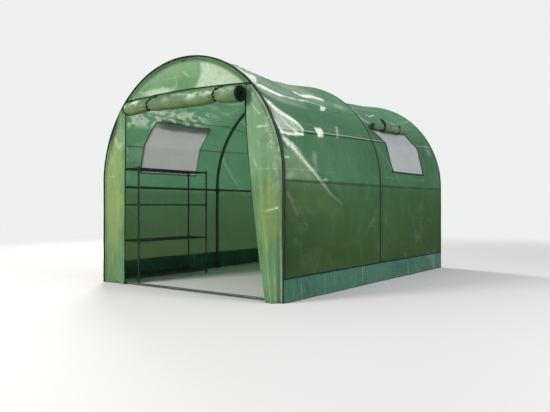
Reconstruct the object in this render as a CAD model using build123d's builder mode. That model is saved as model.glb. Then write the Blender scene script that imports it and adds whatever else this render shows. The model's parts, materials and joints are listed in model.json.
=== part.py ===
"""Polytunnel greenhouse: three tube hoops under a film cover, with a staging rack inside"""

import os
from math import cos, degrees, hypot, pi, radians, sin, sqrt

from build123d import *

# Overall size of the tunnel, mm
tunnel_width = 2000.0
tunnel_length = 3000.0
eaves_height = 880.0

# Cover: film, its lapped seams and the skirt at the ground
film = 3.0
skirt_height = 170.0
low_seam_angle = 23.6
high_seam_margin = 2.9
crown_half_angle = 17.0
seat = 0.4

# Slack of the roof film: how far it hangs in between the hoops, and the shape of the hang
front_sag = 45.0
front_fullness = 2.4
rear_sag = 88.0
rear_lean = 0.65
sag_places = (0.0, 0.08, 0.22, 0.4, 0.6, 0.8, 0.93, 1.0)
hoop_margin = 1.0

# Frame tubes and their moulded sockets
hoop_tube = 25.0
rail_tube = 19.0
socket_wall = 2.5
socket_floor = 4.0
socket_length = 60.0
stub_length = 40.0
rail_end_gap = 2.0
side_rail_drop = 22.0
ground_clearance = 1.0
slip = 0.3

# Doorway in the front end: its head below the crown, and the width of each jamb at the head
door_head_drop = 290.0
left_jamb_top = 4.0
right_jamb_top = 59.0
jamb_splay = 190.0
zip_width = 16.0
trim = 3.0
lift = 3.0

# Bindings and piping on the edges of the film
binding_width = 12.0
band = 2.5
piping = 10.0

# Rolled door, fat at its ends and drawn in at the two ties
roll_radius = 60.0
roll_belly = 57.0
roll_waist = 47.0
roll_shoulder = 90.0
roll_left_inset = 100.0
roll_right_lap = 20.0
roll_drop = 87.0
tie_width = 25.0
tie_left = 310.0
tie_right = 415.0
tie_low = 62.0
tie_high = 75.0
strap = 2.0

# Side windows: one in the right rear bay and one in the left front bay
window_width = 750.0
window_sill_angle = 7.2
window_head_angle = 37.6
right_window_middle = 650.0
left_window_middle = 715.0
net = 1.5
flap_radius = 38.0
flap_length = 735.0
flap_tie_width = 20.0
flap_tie_spacing = 400.0

# Staging rack that stands inside the left wall
rack_length = 890.0
rack_depth = 265.0
rack_wall_gap = 40.0
rack_front_gap = 135.0
rack_post = 16.0
rack_rail = 14.0
rack_bar = 6.0
bar_spacing = 70.0
long_bar_spacing = 80.0
first_shelf_height = 40.0
shelf_spacing = 327.0
shelf_count = 4
collar_wall = 3.0
collar_height = 32.0

# Places that follow from the sizes above
cover_radius = tunnel_width / 2
socket_radius = hoop_tube / 2 + slip + socket_wall
stub_radius = rail_tube / 2 + slip + socket_wall
hoop_reach = cover_radius - film - seat - socket_radius
side_rail_height = eaves_height - side_rail_drop
ground_rail_height = stub_radius + ground_clearance
rail_seat = hoop_tube / 2 + rail_end_gap
roll_axis_gap = trim + slip + roll_radius
front_reach = roll_axis_gap + roll_radius
length_shift = (front_reach - piping - slip) / 2
y_front = -tunnel_length / 2 + length_shift
y_rear = y_front + tunnel_length
y_middle = (y_front + y_rear) / 2
hoop_front = y_front + film + seat + socket_radius
hoop_rear = y_rear - film - seat - socket_radius
hoop_places = {"front": hoop_front, "middle": y_middle, "rear": hoop_rear}
high_seam_angle = window_head_angle + high_seam_margin
door_height = eaves_height + cover_radius - door_head_drop
head_half_width = sqrt(cover_radius**2 - (door_height - eaves_height) ** 2)
door_left = head_half_width - left_jamb_top
door_right = head_half_width - right_jamb_top
roll_left = door_left - roll_left_inset
roll_right = door_right + roll_right_lap
roll_height = door_height - roll_drop


def save(builder, label):
    """Labels a finished piece and writes its file"""
    builder.part.label = label
    export_step(builder.part, f"parts/{label}.step")


def end_view(y):
    """Upright plane across the tunnel at y: local x is the width, local y the height"""
    return Plane(origin=(0, y, 0), x_dir=(1, 0, 0), z_dir=(0, -1, 0))


def arch_outline(reach, foot=0.0, mode=Mode.ADD):
    """Straight sides under a half circle, reach out from the middle line"""
    with BuildLine() as outline:
        Line((reach, foot), (reach, eaves_height))
        CenterArc((0, eaves_height), reach, 0, 180)
        Line((-reach, eaves_height), (-reach, foot))
        Line((-reach, foot), (reach, foot))
    make_face(outline.edges(), mode=mode)


def arch_shell(outer, inner, foot=0.0):
    """Band between two arch outlines, open at the ground"""
    arch_outline(outer, foot)
    arch_outline(inner, foot, mode=Mode.SUBTRACT)


def direction(angle, reach):
    """Point of the end view at an angle above the springing line"""
    return (reach * cos(radians(angle)), eaves_height + reach * sin(radians(angle)))


def round_bar(start, along, radius, length, mode=Mode.ADD):
    """Round bar of the given length from a start point, in one of the main directions"""
    with BuildSketch(Plane(origin=start, z_dir=along)) as section:
        Circle(radius)
    extrude(section.sketch, amount=length, mode=mode)


os.makedirs("parts", exist_ok=True)

# Hoops: a leg on each side and one bent arch with short straight tails
for place, y in hoop_places.items():
    with BuildPart() as legs:
        for side in (-1, 1):
            round_bar((side * hoop_reach, y, socket_floor), (0, 0, 1), hoop_tube / 2,
                      side_rail_height - socket_floor)
    save(legs, f"{place}_hoop_legs")

    with BuildPart() as arch:
        with BuildLine(end_view(y)) as arch_path:
            Line((-hoop_reach, side_rail_height), (-hoop_reach, eaves_height))
            CenterArc((0, eaves_height), hoop_reach, 180, -180)
            Line((hoop_reach, eaves_height), (hoop_reach, side_rail_height))
        with BuildSketch(Plane(origin=(-hoop_reach, y, side_rail_height), z_dir=(0, 0, 1))):
            Circle(hoop_tube / 2)
        sweep(path=arch_path.wires()[0])
    save(arch, f"{place}_hoop_arch")

# Sockets: sleeves round the hoops, with stubs that take the ends of the rails
ways_along = {"front": (1,), "middle": (-1, 1), "rear": (-1,)}


def stub(x, y, z, along):
    """Stub beside a sleeve, bored for the end of one rail"""
    round_bar((x, y, z), along, stub_radius, stub_length)
    seat_point = (x + along[0] * rail_seat, y + along[1] * rail_seat, z)
    round_bar(seat_point, along, rail_tube / 2 + slip, stub_length, mode=Mode.SUBTRACT)


with BuildPart() as foot_sockets:
    for place, y in hoop_places.items():
        for side in (-1, 1):
            x = side * hoop_reach
            round_bar((x, y, 0), (0, 0, 1), socket_radius, socket_length)
            for way in ways_along[place]:
                stub(x, y, ground_rail_height, (0, way, 0))
            if place != "middle":
                stub(x, y, ground_rail_height, (-side, 0, 0))
            round_bar((x, y, socket_floor), (0, 0, 1), hoop_tube / 2 + slip, socket_length,
                      mode=Mode.SUBTRACT)
save(foot_sockets, "foot_sockets")

with BuildPart() as side_sockets:
    for place, y in hoop_places.items():
        for side in (-1, 1):
            x = side * hoop_reach
            sleeve_start = (x, y, eaves_height - socket_length)
            round_bar(sleeve_start, (0, 0, 1), socket_radius, socket_length)
            for way in ways_along[place]:
                stub(x, y, side_rail_height, (0, way, 0))
            round_bar(sleeve_start, (0, 0, 1), hoop_tube / 2 + slip, socket_length,
                      mode=Mode.SUBTRACT)
save(side_sockets, "side_sockets")

ridge_height = eaves_height + hoop_reach


def crown_bar(y, radius, half_length, mode=Mode.ADD):
    """Short bent bar that follows a hoop over its crown"""
    half_angle = half_length / hoop_reach
    start = (-hoop_reach * sin(half_angle), y, eaves_height + hoop_reach * cos(half_angle))
    with BuildSketch(Plane(origin=start, z_dir=(cos(half_angle), 0, sin(half_angle)))) as section:
        Circle(radius)
    revolve(section.sketch, axis=Axis((0, 0, eaves_height), (0, 1, 0)), revolution_arc=degrees(2 * half_angle),
            mode=mode)


with BuildPart() as ridge_sockets:
    for place, y in hoop_places.items():
        crown_bar(y, socket_radius, socket_length / 2)
        for way in ways_along[place]:
            stub(0, y, ridge_height, (0, way, 0))
        crown_bar(y, hoop_tube / 2 + slip, socket_length, mode=Mode.SUBTRACT)
save(ridge_sockets, "ridge_sockets")

# Rails along the tunnel, one length in each bay
bays = ((hoop_front + rail_seat, y_middle - rail_seat), (y_middle + rail_seat, hoop_rear - rail_seat))
rail_lines = {
    "ridge_rails": ((0, ridge_height),),
    "side_rails": ((-hoop_reach, side_rail_height), (hoop_reach, side_rail_height)),
    "side_ground_rails": ((-hoop_reach, ground_rail_height), (hoop_reach, ground_rail_height)),
}
for label, lines in rail_lines.items():
    with BuildPart() as rails:
        for x, z in lines:
            for start, stop in bays:
                round_bar((x, start, z), (0, 1, 0), rail_tube / 2, stop - start)
    save(rails, label)

bar_half = hoop_reach - rail_seat
for place in ("front", "rear"):
    with BuildPart() as ground_bar:
        round_bar((-bar_half, hoop_places[place], ground_rail_height), (1, 0, 0), rail_tube / 2,
                  2 * bar_half)
    save(ground_bar, f"{place}_ground_bar")

# Cover: long strips of film joined at lapped seams, from the skirt to the crown
strip_rear = y_rear - film
strip_length = tunnel_length - 2 * film
window_middles = {"right": y_middle + right_window_middle, "left": y_middle - left_window_middle}
ridge_angle = 90
strip_steps = 4
hoop_half = socket_radius + hoop_margin
sag_bays = (
    (hoop_front + hoop_half, y_middle - hoop_half, lambda place: front_sag * (1 - abs(2 * place - 1)**front_fullness)),
    (y_middle + hoop_half, hoop_rear - hoop_half, lambda place: rear_sag * sin(pi * place**rear_lean)),
)


def window_wedge(name, side, grow, mode):
    """Wedge through one side of the cover at its window, grown all round by an amount"""
    turn = degrees(grow / cover_radius)
    low_x, low_z = direction(window_sill_angle - turn, 2 * cover_radius)
    high_x, high_z = direction(window_head_angle + turn, 2 * cover_radius)
    with BuildSketch(end_view(window_middles[name] + window_width / 2 + grow)) as section:
        with BuildLine() as wedge:
            Polyline((0, eaves_height), (side * low_x, low_z), (side * high_x, high_z), close=True)
        make_face(wedge.edges())
    extrude(section.sketch, amount=window_width + 2 * grow, mode=mode)


def slack_share(angle):
    """Share of the sag at a direction: none up to the low seam and none at the ridge"""
    below = min(max((high_seam_angle - angle) / (high_seam_angle - low_seam_angle), 0), 1)
    above = min((90 - angle) / crown_half_angle, 1)
    return (1 - below**1.5) * sin(radians(90 * above))


def strip_section(y, side, low, high, sag, reach, wall):
    """Section of a strip of film between two directions, drawn in by the sag at its place"""
    outer_points, inner_points = [], []
    for step in range(strip_steps + 1):
        angle = low + (high - low) * step / strip_steps
        drawn_in = sag * slack_share(angle)
        for points, radius in ((outer_points, reach), (inner_points, reach - wall)):
            x, z = direction(angle, radius - drawn_in)
            points.append((side * x, z))
    with BuildSketch(end_view(y)) as section:
        with BuildLine() as outline:
            Spline(*outer_points)
            Line(outer_points[-1], inner_points[-1])
            Spline(*reversed(inner_points))
            Line(inner_points[0], outer_points[0])
        make_face(outline.edges())
    return section.sketch


def plain_strip(side, low, high, reach=cover_radius, wall=film):
    """Strip of film between two directions, straight along the whole tunnel"""
    section = strip_section(strip_rear, side, low, high, 0, reach, wall)
    extrude(section, amount=strip_length)


def slack_bay(bay, side, low, high, reach=cover_radius, wall=film):
    """Strip of roof film between two directions, slack between the two hoops of one bay"""
    start, stop, sag = bay
    loft([strip_section(start + (stop - start) * place, side, low, high, sag(place), reach, wall)
          for place in sag_places])


def slack_strip(side, low, high, reach=cover_radius, wall=film):
    """Strip of roof film along the whole tunnel: straight over the hoops and slack between them"""
    front_end = strip_rear - strip_length
    for start, stop in ((front_end, sag_bays[0][0]), (sag_bays[0][1], sag_bays[1][0]),
                        (sag_bays[1][1], strip_rear)):
        extrude(strip_section(stop, side, low, high, 0, reach, wall), amount=stop - start)
    for bay in sag_bays:
        slack_bay(bay, side, low, high, reach, wall)


def sag_at(y):
    """Depth of the sag at a place along the tunnel"""
    for start, stop, sag in sag_bays:
        if start <= y <= stop:
            return sag((y - start) / (stop - start))
    return 0


for name, side in (("right", 1), ("left", -1)):
    with BuildPart() as skirt:
        with BuildSketch(end_view(strip_rear)):
            with Locations((side * cover_radius - side * film / 2, 0)):
                Rectangle(film, skirt_height, align=(Align.CENTER, Align.MIN))
        extrude(amount=strip_length)
    save(skirt, f"{name}_skirt")

    with BuildPart() as wall:
        with BuildSketch(end_view(strip_rear)):
            arch_shell(cover_radius, cover_radius - film, skirt_height)
            seam_x, seam_z = direction(low_seam_angle, 2 * cover_radius)
            with BuildLine():
                Polyline((0, eaves_height), (side * seam_x, seam_z),
                         (side * seam_x, skirt_height), (0, skirt_height), close=True)
            make_face(mode=Mode.INTERSECT)
        extrude(amount=strip_length)
        window_wedge(name, side, 0, Mode.SUBTRACT)
    save(wall, f"{name}_wall_film")

    with BuildPart() as shoulder:
        slack_strip(side, low_seam_angle, high_seam_angle)
        window_wedge(name, side, 0, Mode.SUBTRACT)
    save(shoulder, f"{name}_shoulder_film")

    with BuildPart() as roof:
        slack_strip(side, high_seam_angle, ridge_angle - crown_half_angle)
    save(roof, f"{name}_roof_film")

with BuildPart() as crown:
    for side in (-1, 1):
        slack_strip(side, ridge_angle - crown_half_angle, ridge_angle)
save(crown, "crown_film")

# Front end: gable film over the doorway and a jamb of film on each side of it
with BuildPart() as gable:
    with BuildSketch(end_view(y_front + film)):
        with Locations((0, eaves_height)):
            Circle(cover_radius)
        with Locations((0, door_height)):
            Rectangle(2 * cover_radius, cover_radius, align=(Align.CENTER, Align.MIN),
                      mode=Mode.INTERSECT)
    extrude(amount=film)
save(gable, "front_gable_film")

with BuildPart() as left_jamb:
    with BuildSketch(end_view(y_front + film)):
        arch_outline(cover_radius)
        with Locations((-door_left, 0)):
            Rectangle(cover_radius, door_height, align=(Align.MAX, Align.MIN), mode=Mode.INTERSECT)
    extrude(amount=film)
save(left_jamb, "left_jamb_film")


def pulled_edge(shift):
    """Free edge of the right jamb: upright at the top, bowed outwards towards the ground"""
    top = (door_right + shift, door_height)
    middle = (door_right + shift + jamb_splay / 4, door_height / 2)
    foot = (door_right + shift + jamb_splay, 0)
    ThreePointArc(top, middle, foot)
    return top, foot


with BuildPart() as right_jamb:
    with BuildSketch(end_view(y_front + film)):
        arch_outline(cover_radius)
        with BuildLine():
            top, foot = pulled_edge(0)
            Polyline(foot, (2 * cover_radius, 0), (2 * cover_radius, door_height), top)
        make_face(mode=Mode.INTERSECT)
    extrude(amount=film)
save(right_jamb, "right_jamb_film")

# Trim of the doorway: a zip down each jamb and the binding that the door hangs from
trim_reach = cover_radius - piping - slip
binding_half = binding_width / 2
with BuildPart() as zips:
    with BuildSketch(end_view(y_front)):
        with Locations((-door_left, lift)):
            Rectangle(zip_width, door_height, align=(Align.MAX, Align.MIN))
        with BuildLine():
            inner_top, inner_foot = pulled_edge(0)
            outer_top, outer_foot = pulled_edge(zip_width)
            Line(inner_top, outer_top)
            Line(inner_foot, outer_foot)
        make_face()
        arch_outline(trim_reach, lift, mode=Mode.INTERSECT)
        with Locations((0, 0)):
            Rectangle(2 * cover_radius, door_height - binding_half, align=(Align.CENTER, Align.MIN),
                      mode=Mode.INTERSECT)
    extrude(amount=trim)
save(zips, "door_zips")

with BuildPart() as door_binding:
    with BuildSketch(end_view(y_front)):
        with Locations((door_right + zip_width, door_height)):
            Rectangle(2 * cover_radius, binding_width, align=(Align.MAX, Align.CENTER))
        arch_outline(trim_reach, mode=Mode.INTERSECT)
    extrude(amount=trim)
save(door_binding, "door_head_binding")

# Rolled door: fat at both ends and drawn in where the two ties hold it
y_roll = y_front - roll_axis_gap
tie_places = (-tie_left, tie_right)
with BuildPart() as roll:
    with BuildSketch(Plane(origin=(0, y_roll, roll_height), x_dir=(1, 0, 0), z_dir=(0, -1, 0))):
        with BuildLine():
            Polyline((-roll_left, 0), (-roll_left, roll_radius), (-roll_left + roll_shoulder, roll_radius),
                     (-tie_left - tie_width, roll_waist), (-tie_left + tie_width, roll_waist),
                     (-tie_left + tie_width + roll_shoulder, roll_belly),
                     (tie_right - tie_width - roll_shoulder, roll_belly),
                     (tie_right - tie_width, roll_waist), (tie_right + tie_width, roll_waist),
                     (roll_right - roll_shoulder, roll_radius), (roll_right, roll_radius),
                     (roll_right, 0), close=True)
        make_face()
    revolve(axis=Axis((0, y_roll, roll_height), (1, 0, 0)))
save(roll, "door_roll")

with BuildPart() as door_ties:
    loop_middle = roll_waist + slip + strap / 2
    hook_height = door_height - binding_half - roll_height
    for x in tie_places:
        tie_plane = Plane(origin=(x - tie_width / 2, y_roll, roll_height), x_dir=(0, 1, 0), z_dir=(1, 0, 0))
        with BuildSketch(tie_plane):
            with BuildLine():
                Polyline((loop_middle * cos(radians(tie_high)), loop_middle * sin(radians(tie_high))),
                         (roll_axis_gap - trim, hook_height), (roll_axis_gap, hook_height),
                         (loop_middle * cos(radians(tie_low)), loop_middle * sin(radians(tie_low))),
                         close=True)
            make_face()
            Circle(roll_waist + slip + strap)
            Circle(roll_waist + slip, mode=Mode.SUBTRACT)
        extrude(amount=tie_width)
save(door_ties, "door_ties")

# Rear end: one plain panel of film over its skirt
with BuildPart() as rear_panel:
    with BuildSketch(end_view(y_rear)):
        arch_outline(cover_radius, skirt_height)
    extrude(amount=film)
save(rear_panel, "rear_panel_film")

with BuildPart() as rear_skirt:
    with BuildSketch(end_view(y_rear)):
        Rectangle(2 * cover_radius, skirt_height, align=(Align.CENTER, Align.MIN))
    extrude(amount=film)
save(rear_skirt, "rear_skirt")

# Bound edges: round piping on both end hoops and a flat band over the middle hoop
piping_places = {"front": y_front - slip - piping / 2, "rear": y_rear + slip + piping / 2}
piping_reach = cover_radius - piping / 2
for place, y in piping_places.items():
    with BuildPart() as edge:
        with BuildLine(end_view(y)) as edge_path:
            Line((-piping_reach, lift), (-piping_reach, eaves_height))
            CenterArc((0, eaves_height), piping_reach, 180, -180)
            Line((piping_reach, eaves_height), (piping_reach, lift))
        with BuildSketch(Plane(origin=(-piping_reach, y, lift), z_dir=(0, 0, 1))):
            Circle(piping / 2)
        sweep(path=edge_path.wires()[0])
    save(edge, f"{place}_edge_piping")

with BuildPart() as middle_band:
    with BuildSketch(end_view(y_middle + binding_half)):
        arch_shell(cover_radius + slip + band, cover_radius + slip, skirt_height + binding_half)
    extrude(amount=binding_width)
save(middle_band, "middle_seam_band")

with BuildPart() as skirt_bindings:
    for side in (-1, 1):
        with BuildSketch(end_view(y_rear)):
            with Locations((side * (cover_radius + band / 2), skirt_height)):
                Rectangle(band, binding_width)
        extrude(amount=tunnel_length)
    with BuildSketch(end_view(y_rear + band)):
        with Locations((0, skirt_height)):
            Rectangle(2 * trim_reach, binding_width)
    extrude(amount=band)
save(skirt_bindings, "skirt_bindings")

# Windows: insect net in each cut-out, a binding round it and the flap rolled up at its head
window_edges = []
for name, side in (("right", 1), ("left", -1)):
    bay = next(bay for bay in sag_bays if bay[0] < window_middles[name] < bay[1])
    foot_angle = window_sill_angle - degrees(binding_width / cover_radius)
    with BuildPart() as window_net:
        plain_strip(side, foot_angle, low_seam_angle, cover_radius - slip, net)
        slack_bay(bay, side, low_seam_angle, high_seam_angle, cover_radius - slip, net)
        window_wedge(name, side, -slip, Mode.INTERSECT)
    save(window_net, f"{name}_window_net")

    with BuildPart() as window_edge:
        plain_strip(side, foot_angle, low_seam_angle, cover_radius + slip + band, band)
        slack_bay(bay, side, low_seam_angle, high_seam_angle, cover_radius + slip + band, band)
        window_wedge(name, side, binding_half, Mode.INTERSECT)
        window_wedge(name, side, -binding_half, Mode.SUBTRACT)
    window_edges.append(window_edge.part)

with BuildPart() as window_bindings:
    for edge in window_edges:
        add(edge)
save(window_bindings, "window_bindings")

def flap_point(side, y):
    """Place of a rolled flap's middle line at y, where its end lies on the slack film"""
    slope = sag_at(y) * (slack_share(window_head_angle + 0.5) - slack_share(window_head_angle - 0.5))
    stand_off = (flap_radius + slip) * hypot(1, slope / (cover_radius * radians(1)))
    drawn_in = sag_at(y) * slack_share(window_head_angle)
    x, z = direction(window_head_angle, cover_radius + slip + band + stand_off - drawn_in)
    return Vector(side * x, y, z)


flap_lines = []
for name, side in (("right", 1), ("left", -1)):
    ends = [window_middles[name] + way * flap_length / 2 for way in (-1, 1)]
    flap_lines.append([flap_point(side, y) for y in ends])

with BuildPart() as flap_rolls:
    for start, stop in flap_lines:
        round_bar(start, stop - start, flap_radius, (stop - start).length)
save(flap_rolls, "window_flap_rolls")

with BuildPart() as flap_ties:
    for start, stop in flap_lines:
        along = (stop - start).normalized()
        for way in (-1, 1):
            tie_start = (start + stop) * 0.5 + along * (way * flap_tie_spacing - flap_tie_width) * 0.5
            round_bar(tie_start, along, flap_radius + slip + strap, flap_tie_width)
            round_bar(tie_start, along, flap_radius + slip, flap_tie_width, mode=Mode.SUBTRACT)
save(flap_ties, "window_flap_ties")

# Staging rack: four posts and four wire shelves with collars that slide on the posts
rack_left = -cover_radius + film + rack_wall_gap
rack_front = y_front + rack_front_gap
post_x = (rack_left + rack_post / 2, rack_left + rack_depth - rack_post / 2)
post_y = (rack_front + rack_post / 2, rack_front + rack_length - rack_post / 2)
top_shelf_height = first_shelf_height + (shelf_count - 1) * shelf_spacing
with BuildPart() as posts:
    for x in post_x:
        for y in post_y:
            round_bar((x, y, 0), (0, 0, 1), rack_post / 2, top_shelf_height + collar_height / 2)
save(posts, "staging_posts")


def spread(first, last, spacing):
    """Even places between two ends, with no gap wider than the spacing"""
    count = int((last - first) / spacing)
    return [first + (last - first) * step / (count + 1) for step in range(1, count + 1)]


for shelf_number in range(shelf_count):
    z = first_shelf_height + shelf_number * shelf_spacing
    with BuildPart() as shelf:
        for x in post_x:
            round_bar((x, post_y[0], z), (0, 1, 0), rack_rail / 2, post_y[1] - post_y[0])
        for y in post_y:
            round_bar((post_x[0], y, z), (1, 0, 0), rack_rail / 2, post_x[1] - post_x[0])
        for y in spread(post_y[0], post_y[1], bar_spacing):
            with Locations(((post_x[0] + post_x[1]) / 2, y, z)):
                Box(post_x[1] - post_x[0], rack_bar, rack_bar)
        for x in spread(post_x[0], post_x[1], long_bar_spacing):
            with Locations((x, (post_y[0] + post_y[1]) / 2, z)):
                Box(rack_bar, post_y[1] - post_y[0], rack_bar)
        for x in post_x:
            for y in post_y:
                round_bar((x, y, z - collar_height / 2), (0, 0, 1),
                          rack_post / 2 + slip + collar_wall, collar_height)
        for x in post_x:
            for y in post_y:
                round_bar((x, y, z - collar_height / 2), (0, 0, 1), rack_post / 2 + slip,
                          collar_height, mode=Mode.SUBTRACT)
    save(shelf, f"staging_shelf_{shelf_number + 1}")
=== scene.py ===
"""Polytunnel greenhouse: film, netting, tapes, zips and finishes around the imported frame"""

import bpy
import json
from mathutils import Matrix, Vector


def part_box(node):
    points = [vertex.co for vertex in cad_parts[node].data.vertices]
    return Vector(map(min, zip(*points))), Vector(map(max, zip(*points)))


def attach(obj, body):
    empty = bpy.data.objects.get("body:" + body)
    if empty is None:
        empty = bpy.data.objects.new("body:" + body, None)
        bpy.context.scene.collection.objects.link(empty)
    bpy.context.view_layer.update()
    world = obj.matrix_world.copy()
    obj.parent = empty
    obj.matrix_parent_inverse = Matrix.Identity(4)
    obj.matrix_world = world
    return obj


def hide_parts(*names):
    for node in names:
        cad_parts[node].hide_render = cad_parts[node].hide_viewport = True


bl_info = {
    "name": "Polytunnel greenhouse",
    "version": (1, 0, 0),
    "blender": (4, 5, 0),
    "location": "View3D > Sidebar > Polytunnel",
    "description": "Dresses the tunnel frame with its film cover, door, windows and staging",
    "category": "Object",
}

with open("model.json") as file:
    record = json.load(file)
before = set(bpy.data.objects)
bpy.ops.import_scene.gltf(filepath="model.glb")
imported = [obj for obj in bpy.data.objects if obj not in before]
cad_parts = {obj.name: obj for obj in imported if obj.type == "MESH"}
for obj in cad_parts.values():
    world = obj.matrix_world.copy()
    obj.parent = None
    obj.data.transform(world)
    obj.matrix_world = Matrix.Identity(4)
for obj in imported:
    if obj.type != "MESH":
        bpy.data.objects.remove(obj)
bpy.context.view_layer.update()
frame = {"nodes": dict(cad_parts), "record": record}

import json
import math

import bmesh
import bpy
import numpy as np
from mathutils import Vector

RIGHT, LEFT = 1, -1
SIDE_NAMES = {RIGHT: "right", LEFT: "left"}
ALONG, UP = np.array([0.0, 1.0, 0.0]), np.array([0.0, 0.0, 1.0])

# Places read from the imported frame, in metres; a girth is a length up the wall and round the arch
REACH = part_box("rear_panel_film")[1].x
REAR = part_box("rear_panel_film")[1].y
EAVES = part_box("rear_panel_film")[1].z - REACH
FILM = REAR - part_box("rear_panel_film")[0].y
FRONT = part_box("front_gable_film")[0].y
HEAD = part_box("front_gable_film")[0].z
SKIRT_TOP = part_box("right_skirt")[1].z
MIDDLE = (FRONT + REAR) / 2
CROWN = EAVES + REACH * math.pi / 2
ROLL_LOW, ROLL_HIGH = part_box("door_roll")

# Height of the side rails, and how far the film lies on the end hoops and on the middle one
RAIL = 0.865
END_GRIP, HOOP_GRIP = 0.0350, 0.0163

# The lapped seams: their angles above the eaves, and their girth, climb towards the rear and strength
LOW_SEAM, HIGH_SEAM = (math.degrees(math.asin((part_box(f"right_{part}_film")[1].z - EAVES) / REACH))
                       for part in ("wall", "shoulder"))
SEAMS = tuple((EAVES + REACH * math.radians(angle), climb, shows)
              for angle, climb, shows in ((LOW_SEAM, 0.035, 1.0), (HIGH_SEAM, -0.010, 0.22)))

# Length, width and height of a stitch and of a tooth of a zip
STITCH, TOOTH = (0.0052, 0.0014, 0.0012), (0.0026, 0.0052, 0.0030)

# Lengths of one step of a tape's mesh and of one cell of a roll's or net's, and how much film or net
# lies under a binding
TAPE_STEP, SOFT_CELL, SEWN_IN = 0.013, 0.0125, 0.004

# Spacing of the threads in the film and in the net, and the share that a thread fills
FILM_THREADS, NET_THREADS = (0.0085, 0.34), (0.0016, 0.55)

# The two ends by the way they face: their names and the places of their film
ENDS = {-1: ("front", FRONT), 1: ("rear", REAR)}

# Share of a roll's film that hangs before it is wound up: the door's and the window flaps'
DOOR_HANG, FLAP_HANG = 0.05, 0.08


def window_span(side):
    """Cut-out of a window as (front, rear, low girth, high girth)"""
    name = f"{SIDE_NAMES[side]}_window_net"
    low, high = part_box(name)
    angles = [math.atan2(v.co.z - EAVES, abs(v.co.x)) for v in frame["nodes"][name].data.vertices]
    return low.y, high.y, EAVES + REACH * min(angles), EAVES + REACH * max(angles)


def door_tie_places():
    """Middles of the two door ties along the roll"""
    points = np.array([v.co.x for v in frame["nodes"]["door_ties"].data.vertices])
    split = (points.min() + points.max()) / 2
    return [(half.min() + half.max()) / 2 for half in (points[points < split], points[points > split])]


WINDOWS = {side: window_span(side) for side in SIDE_NAMES}
DOOR_TIES = door_tie_places()


# The sizes and colours that a user would change

def colour_property(name, text, value):
    """Property that holds a colour"""
    return bpy.props.FloatVectorProperty(
        name=name, description=text, subtype="COLOR", size=3, default=value, min=0, max=1)


def size_property(name, text, value, low, high, unit="LENGTH"):
    """Property that holds a length, or a number of another unit"""
    return bpy.props.FloatProperty(
        name=name, description=text, unit=unit, default=value, min=low, max=high)


class CoverSettings(bpy.types.PropertyGroup):
    """Sizes and colours of the film cover"""

    film_colour: colour_property(
        "Film colour", "Colour of the film where light falls on it", (0.066, 0.162, 0.082))
    glow_colour: colour_property(
        "Glow colour", "Colour of the light that comes through the film", (0.235, 0.480, 0.310))
    skirt_colour: colour_property("Skirt colour", "Colour of the ground skirt", (0.026, 0.106, 0.070))
    cell: size_property("Cell", "Size of the cells of the film's mesh", 0.0128, 0.008, 0.05)
    thickness: size_property("Thickness", "Thickness of the film's mesh", 0.0012, 0.0004, 0.003)
    front_sag: size_property(
        "Front sag", "How far the film hangs in between the front and middle hoops", 0.045, 0, 0.15)
    rear_sag: size_property(
        "Rear sag", "How far the film hangs in between the middle and rear hoops", 0.088, 0, 0.15)
    crumple: size_property("Crumple", "Height of the soft crumples", 0.006, 0, 0.03)


class DoorSettings(bpy.types.PropertyGroup):
    """Sizes of the rolled door"""

    turns: size_property("Turns", "Turns of film in the roll", 6.3, 1, 12, "NONE")
    core: size_property("Core", "Radius of the innermost turn", 0.017, 0.005, 0.04)
    tape: size_property("Edge tape", "Width of the black tape on the door's edges", 0.018, 0.005, 0.05)


class TrimSettings(bpy.types.PropertyGroup):
    """Sizes and colour of the tapes, piping, zips and stitches"""

    tape_colour: colour_property("Tape colour", "Colour of the tapes and piping", (0.006, 0.013, 0.009))
    stitch_spacing: size_property("Stitch spacing", "Distance between two stitches", 0.0104, 0.004, 0.05)
    tooth_spacing: size_property(
        "Tooth spacing", "Distance between two teeth of a zip", 0.0042, 0.002, 0.02)


class WindowSettings(bpy.types.PropertyGroup):
    """Sizes and colour of the netted windows"""

    net_colour: colour_property("Net colour", "Colour of the insect net", (0.44, 0.45, 0.47))
    flap_turns: size_property("Flap turns", "Turns of film in the rolled window flap", 3.4, 1, 6, "NONE")


class StageSettings(bpy.types.PropertyGroup):
    """Floor colour and camera"""

    floor_colour: colour_property("Floor colour", "Colour of the floor", (0.52, 0.52, 0.515))
    lens: size_property("Lens", "Focal length on a 36 mm sensor, in millimetres", 38.09, 10, 200, "NONE")
    eye_height: size_property("Eye height", "Height of the camera", 0.683, 0, 5)
    eye_right: size_property("Eye to the right", "Camera's place across the tunnel", 3.373, -10, 10)
    eye_front: size_property("Eye in front", "Camera's distance before the front film", 3.310, 0, 10)
    turn: size_property("Turn", "Angle between the camera's view and the tunnel's length",
                        math.radians(36.52), -math.pi, math.pi, "ROTATION")


SETTINGS = {"cover": CoverSettings, "door": DoorSettings, "trim": TrimSettings,
            "windows": WindowSettings, "stage": StageSettings}


def settings(name):
    """The property group of one part of the tunnel"""
    return getattr(bpy.context.scene, f"polytunnel_{name}")


# Arrays of numbers: smooth noise, ramps, creases and directions

def ramp(value, low, high):
    """Smooth step from 0 at low to 1 at high"""
    t = np.clip((value - low) / (high - low), 0, 1)
    return t * t * (3 - 2 * t)


def bell(value, width):
    """1 at 0, and falling away on both sides of it"""
    return np.exp(-(value / width) ** 2)


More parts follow.
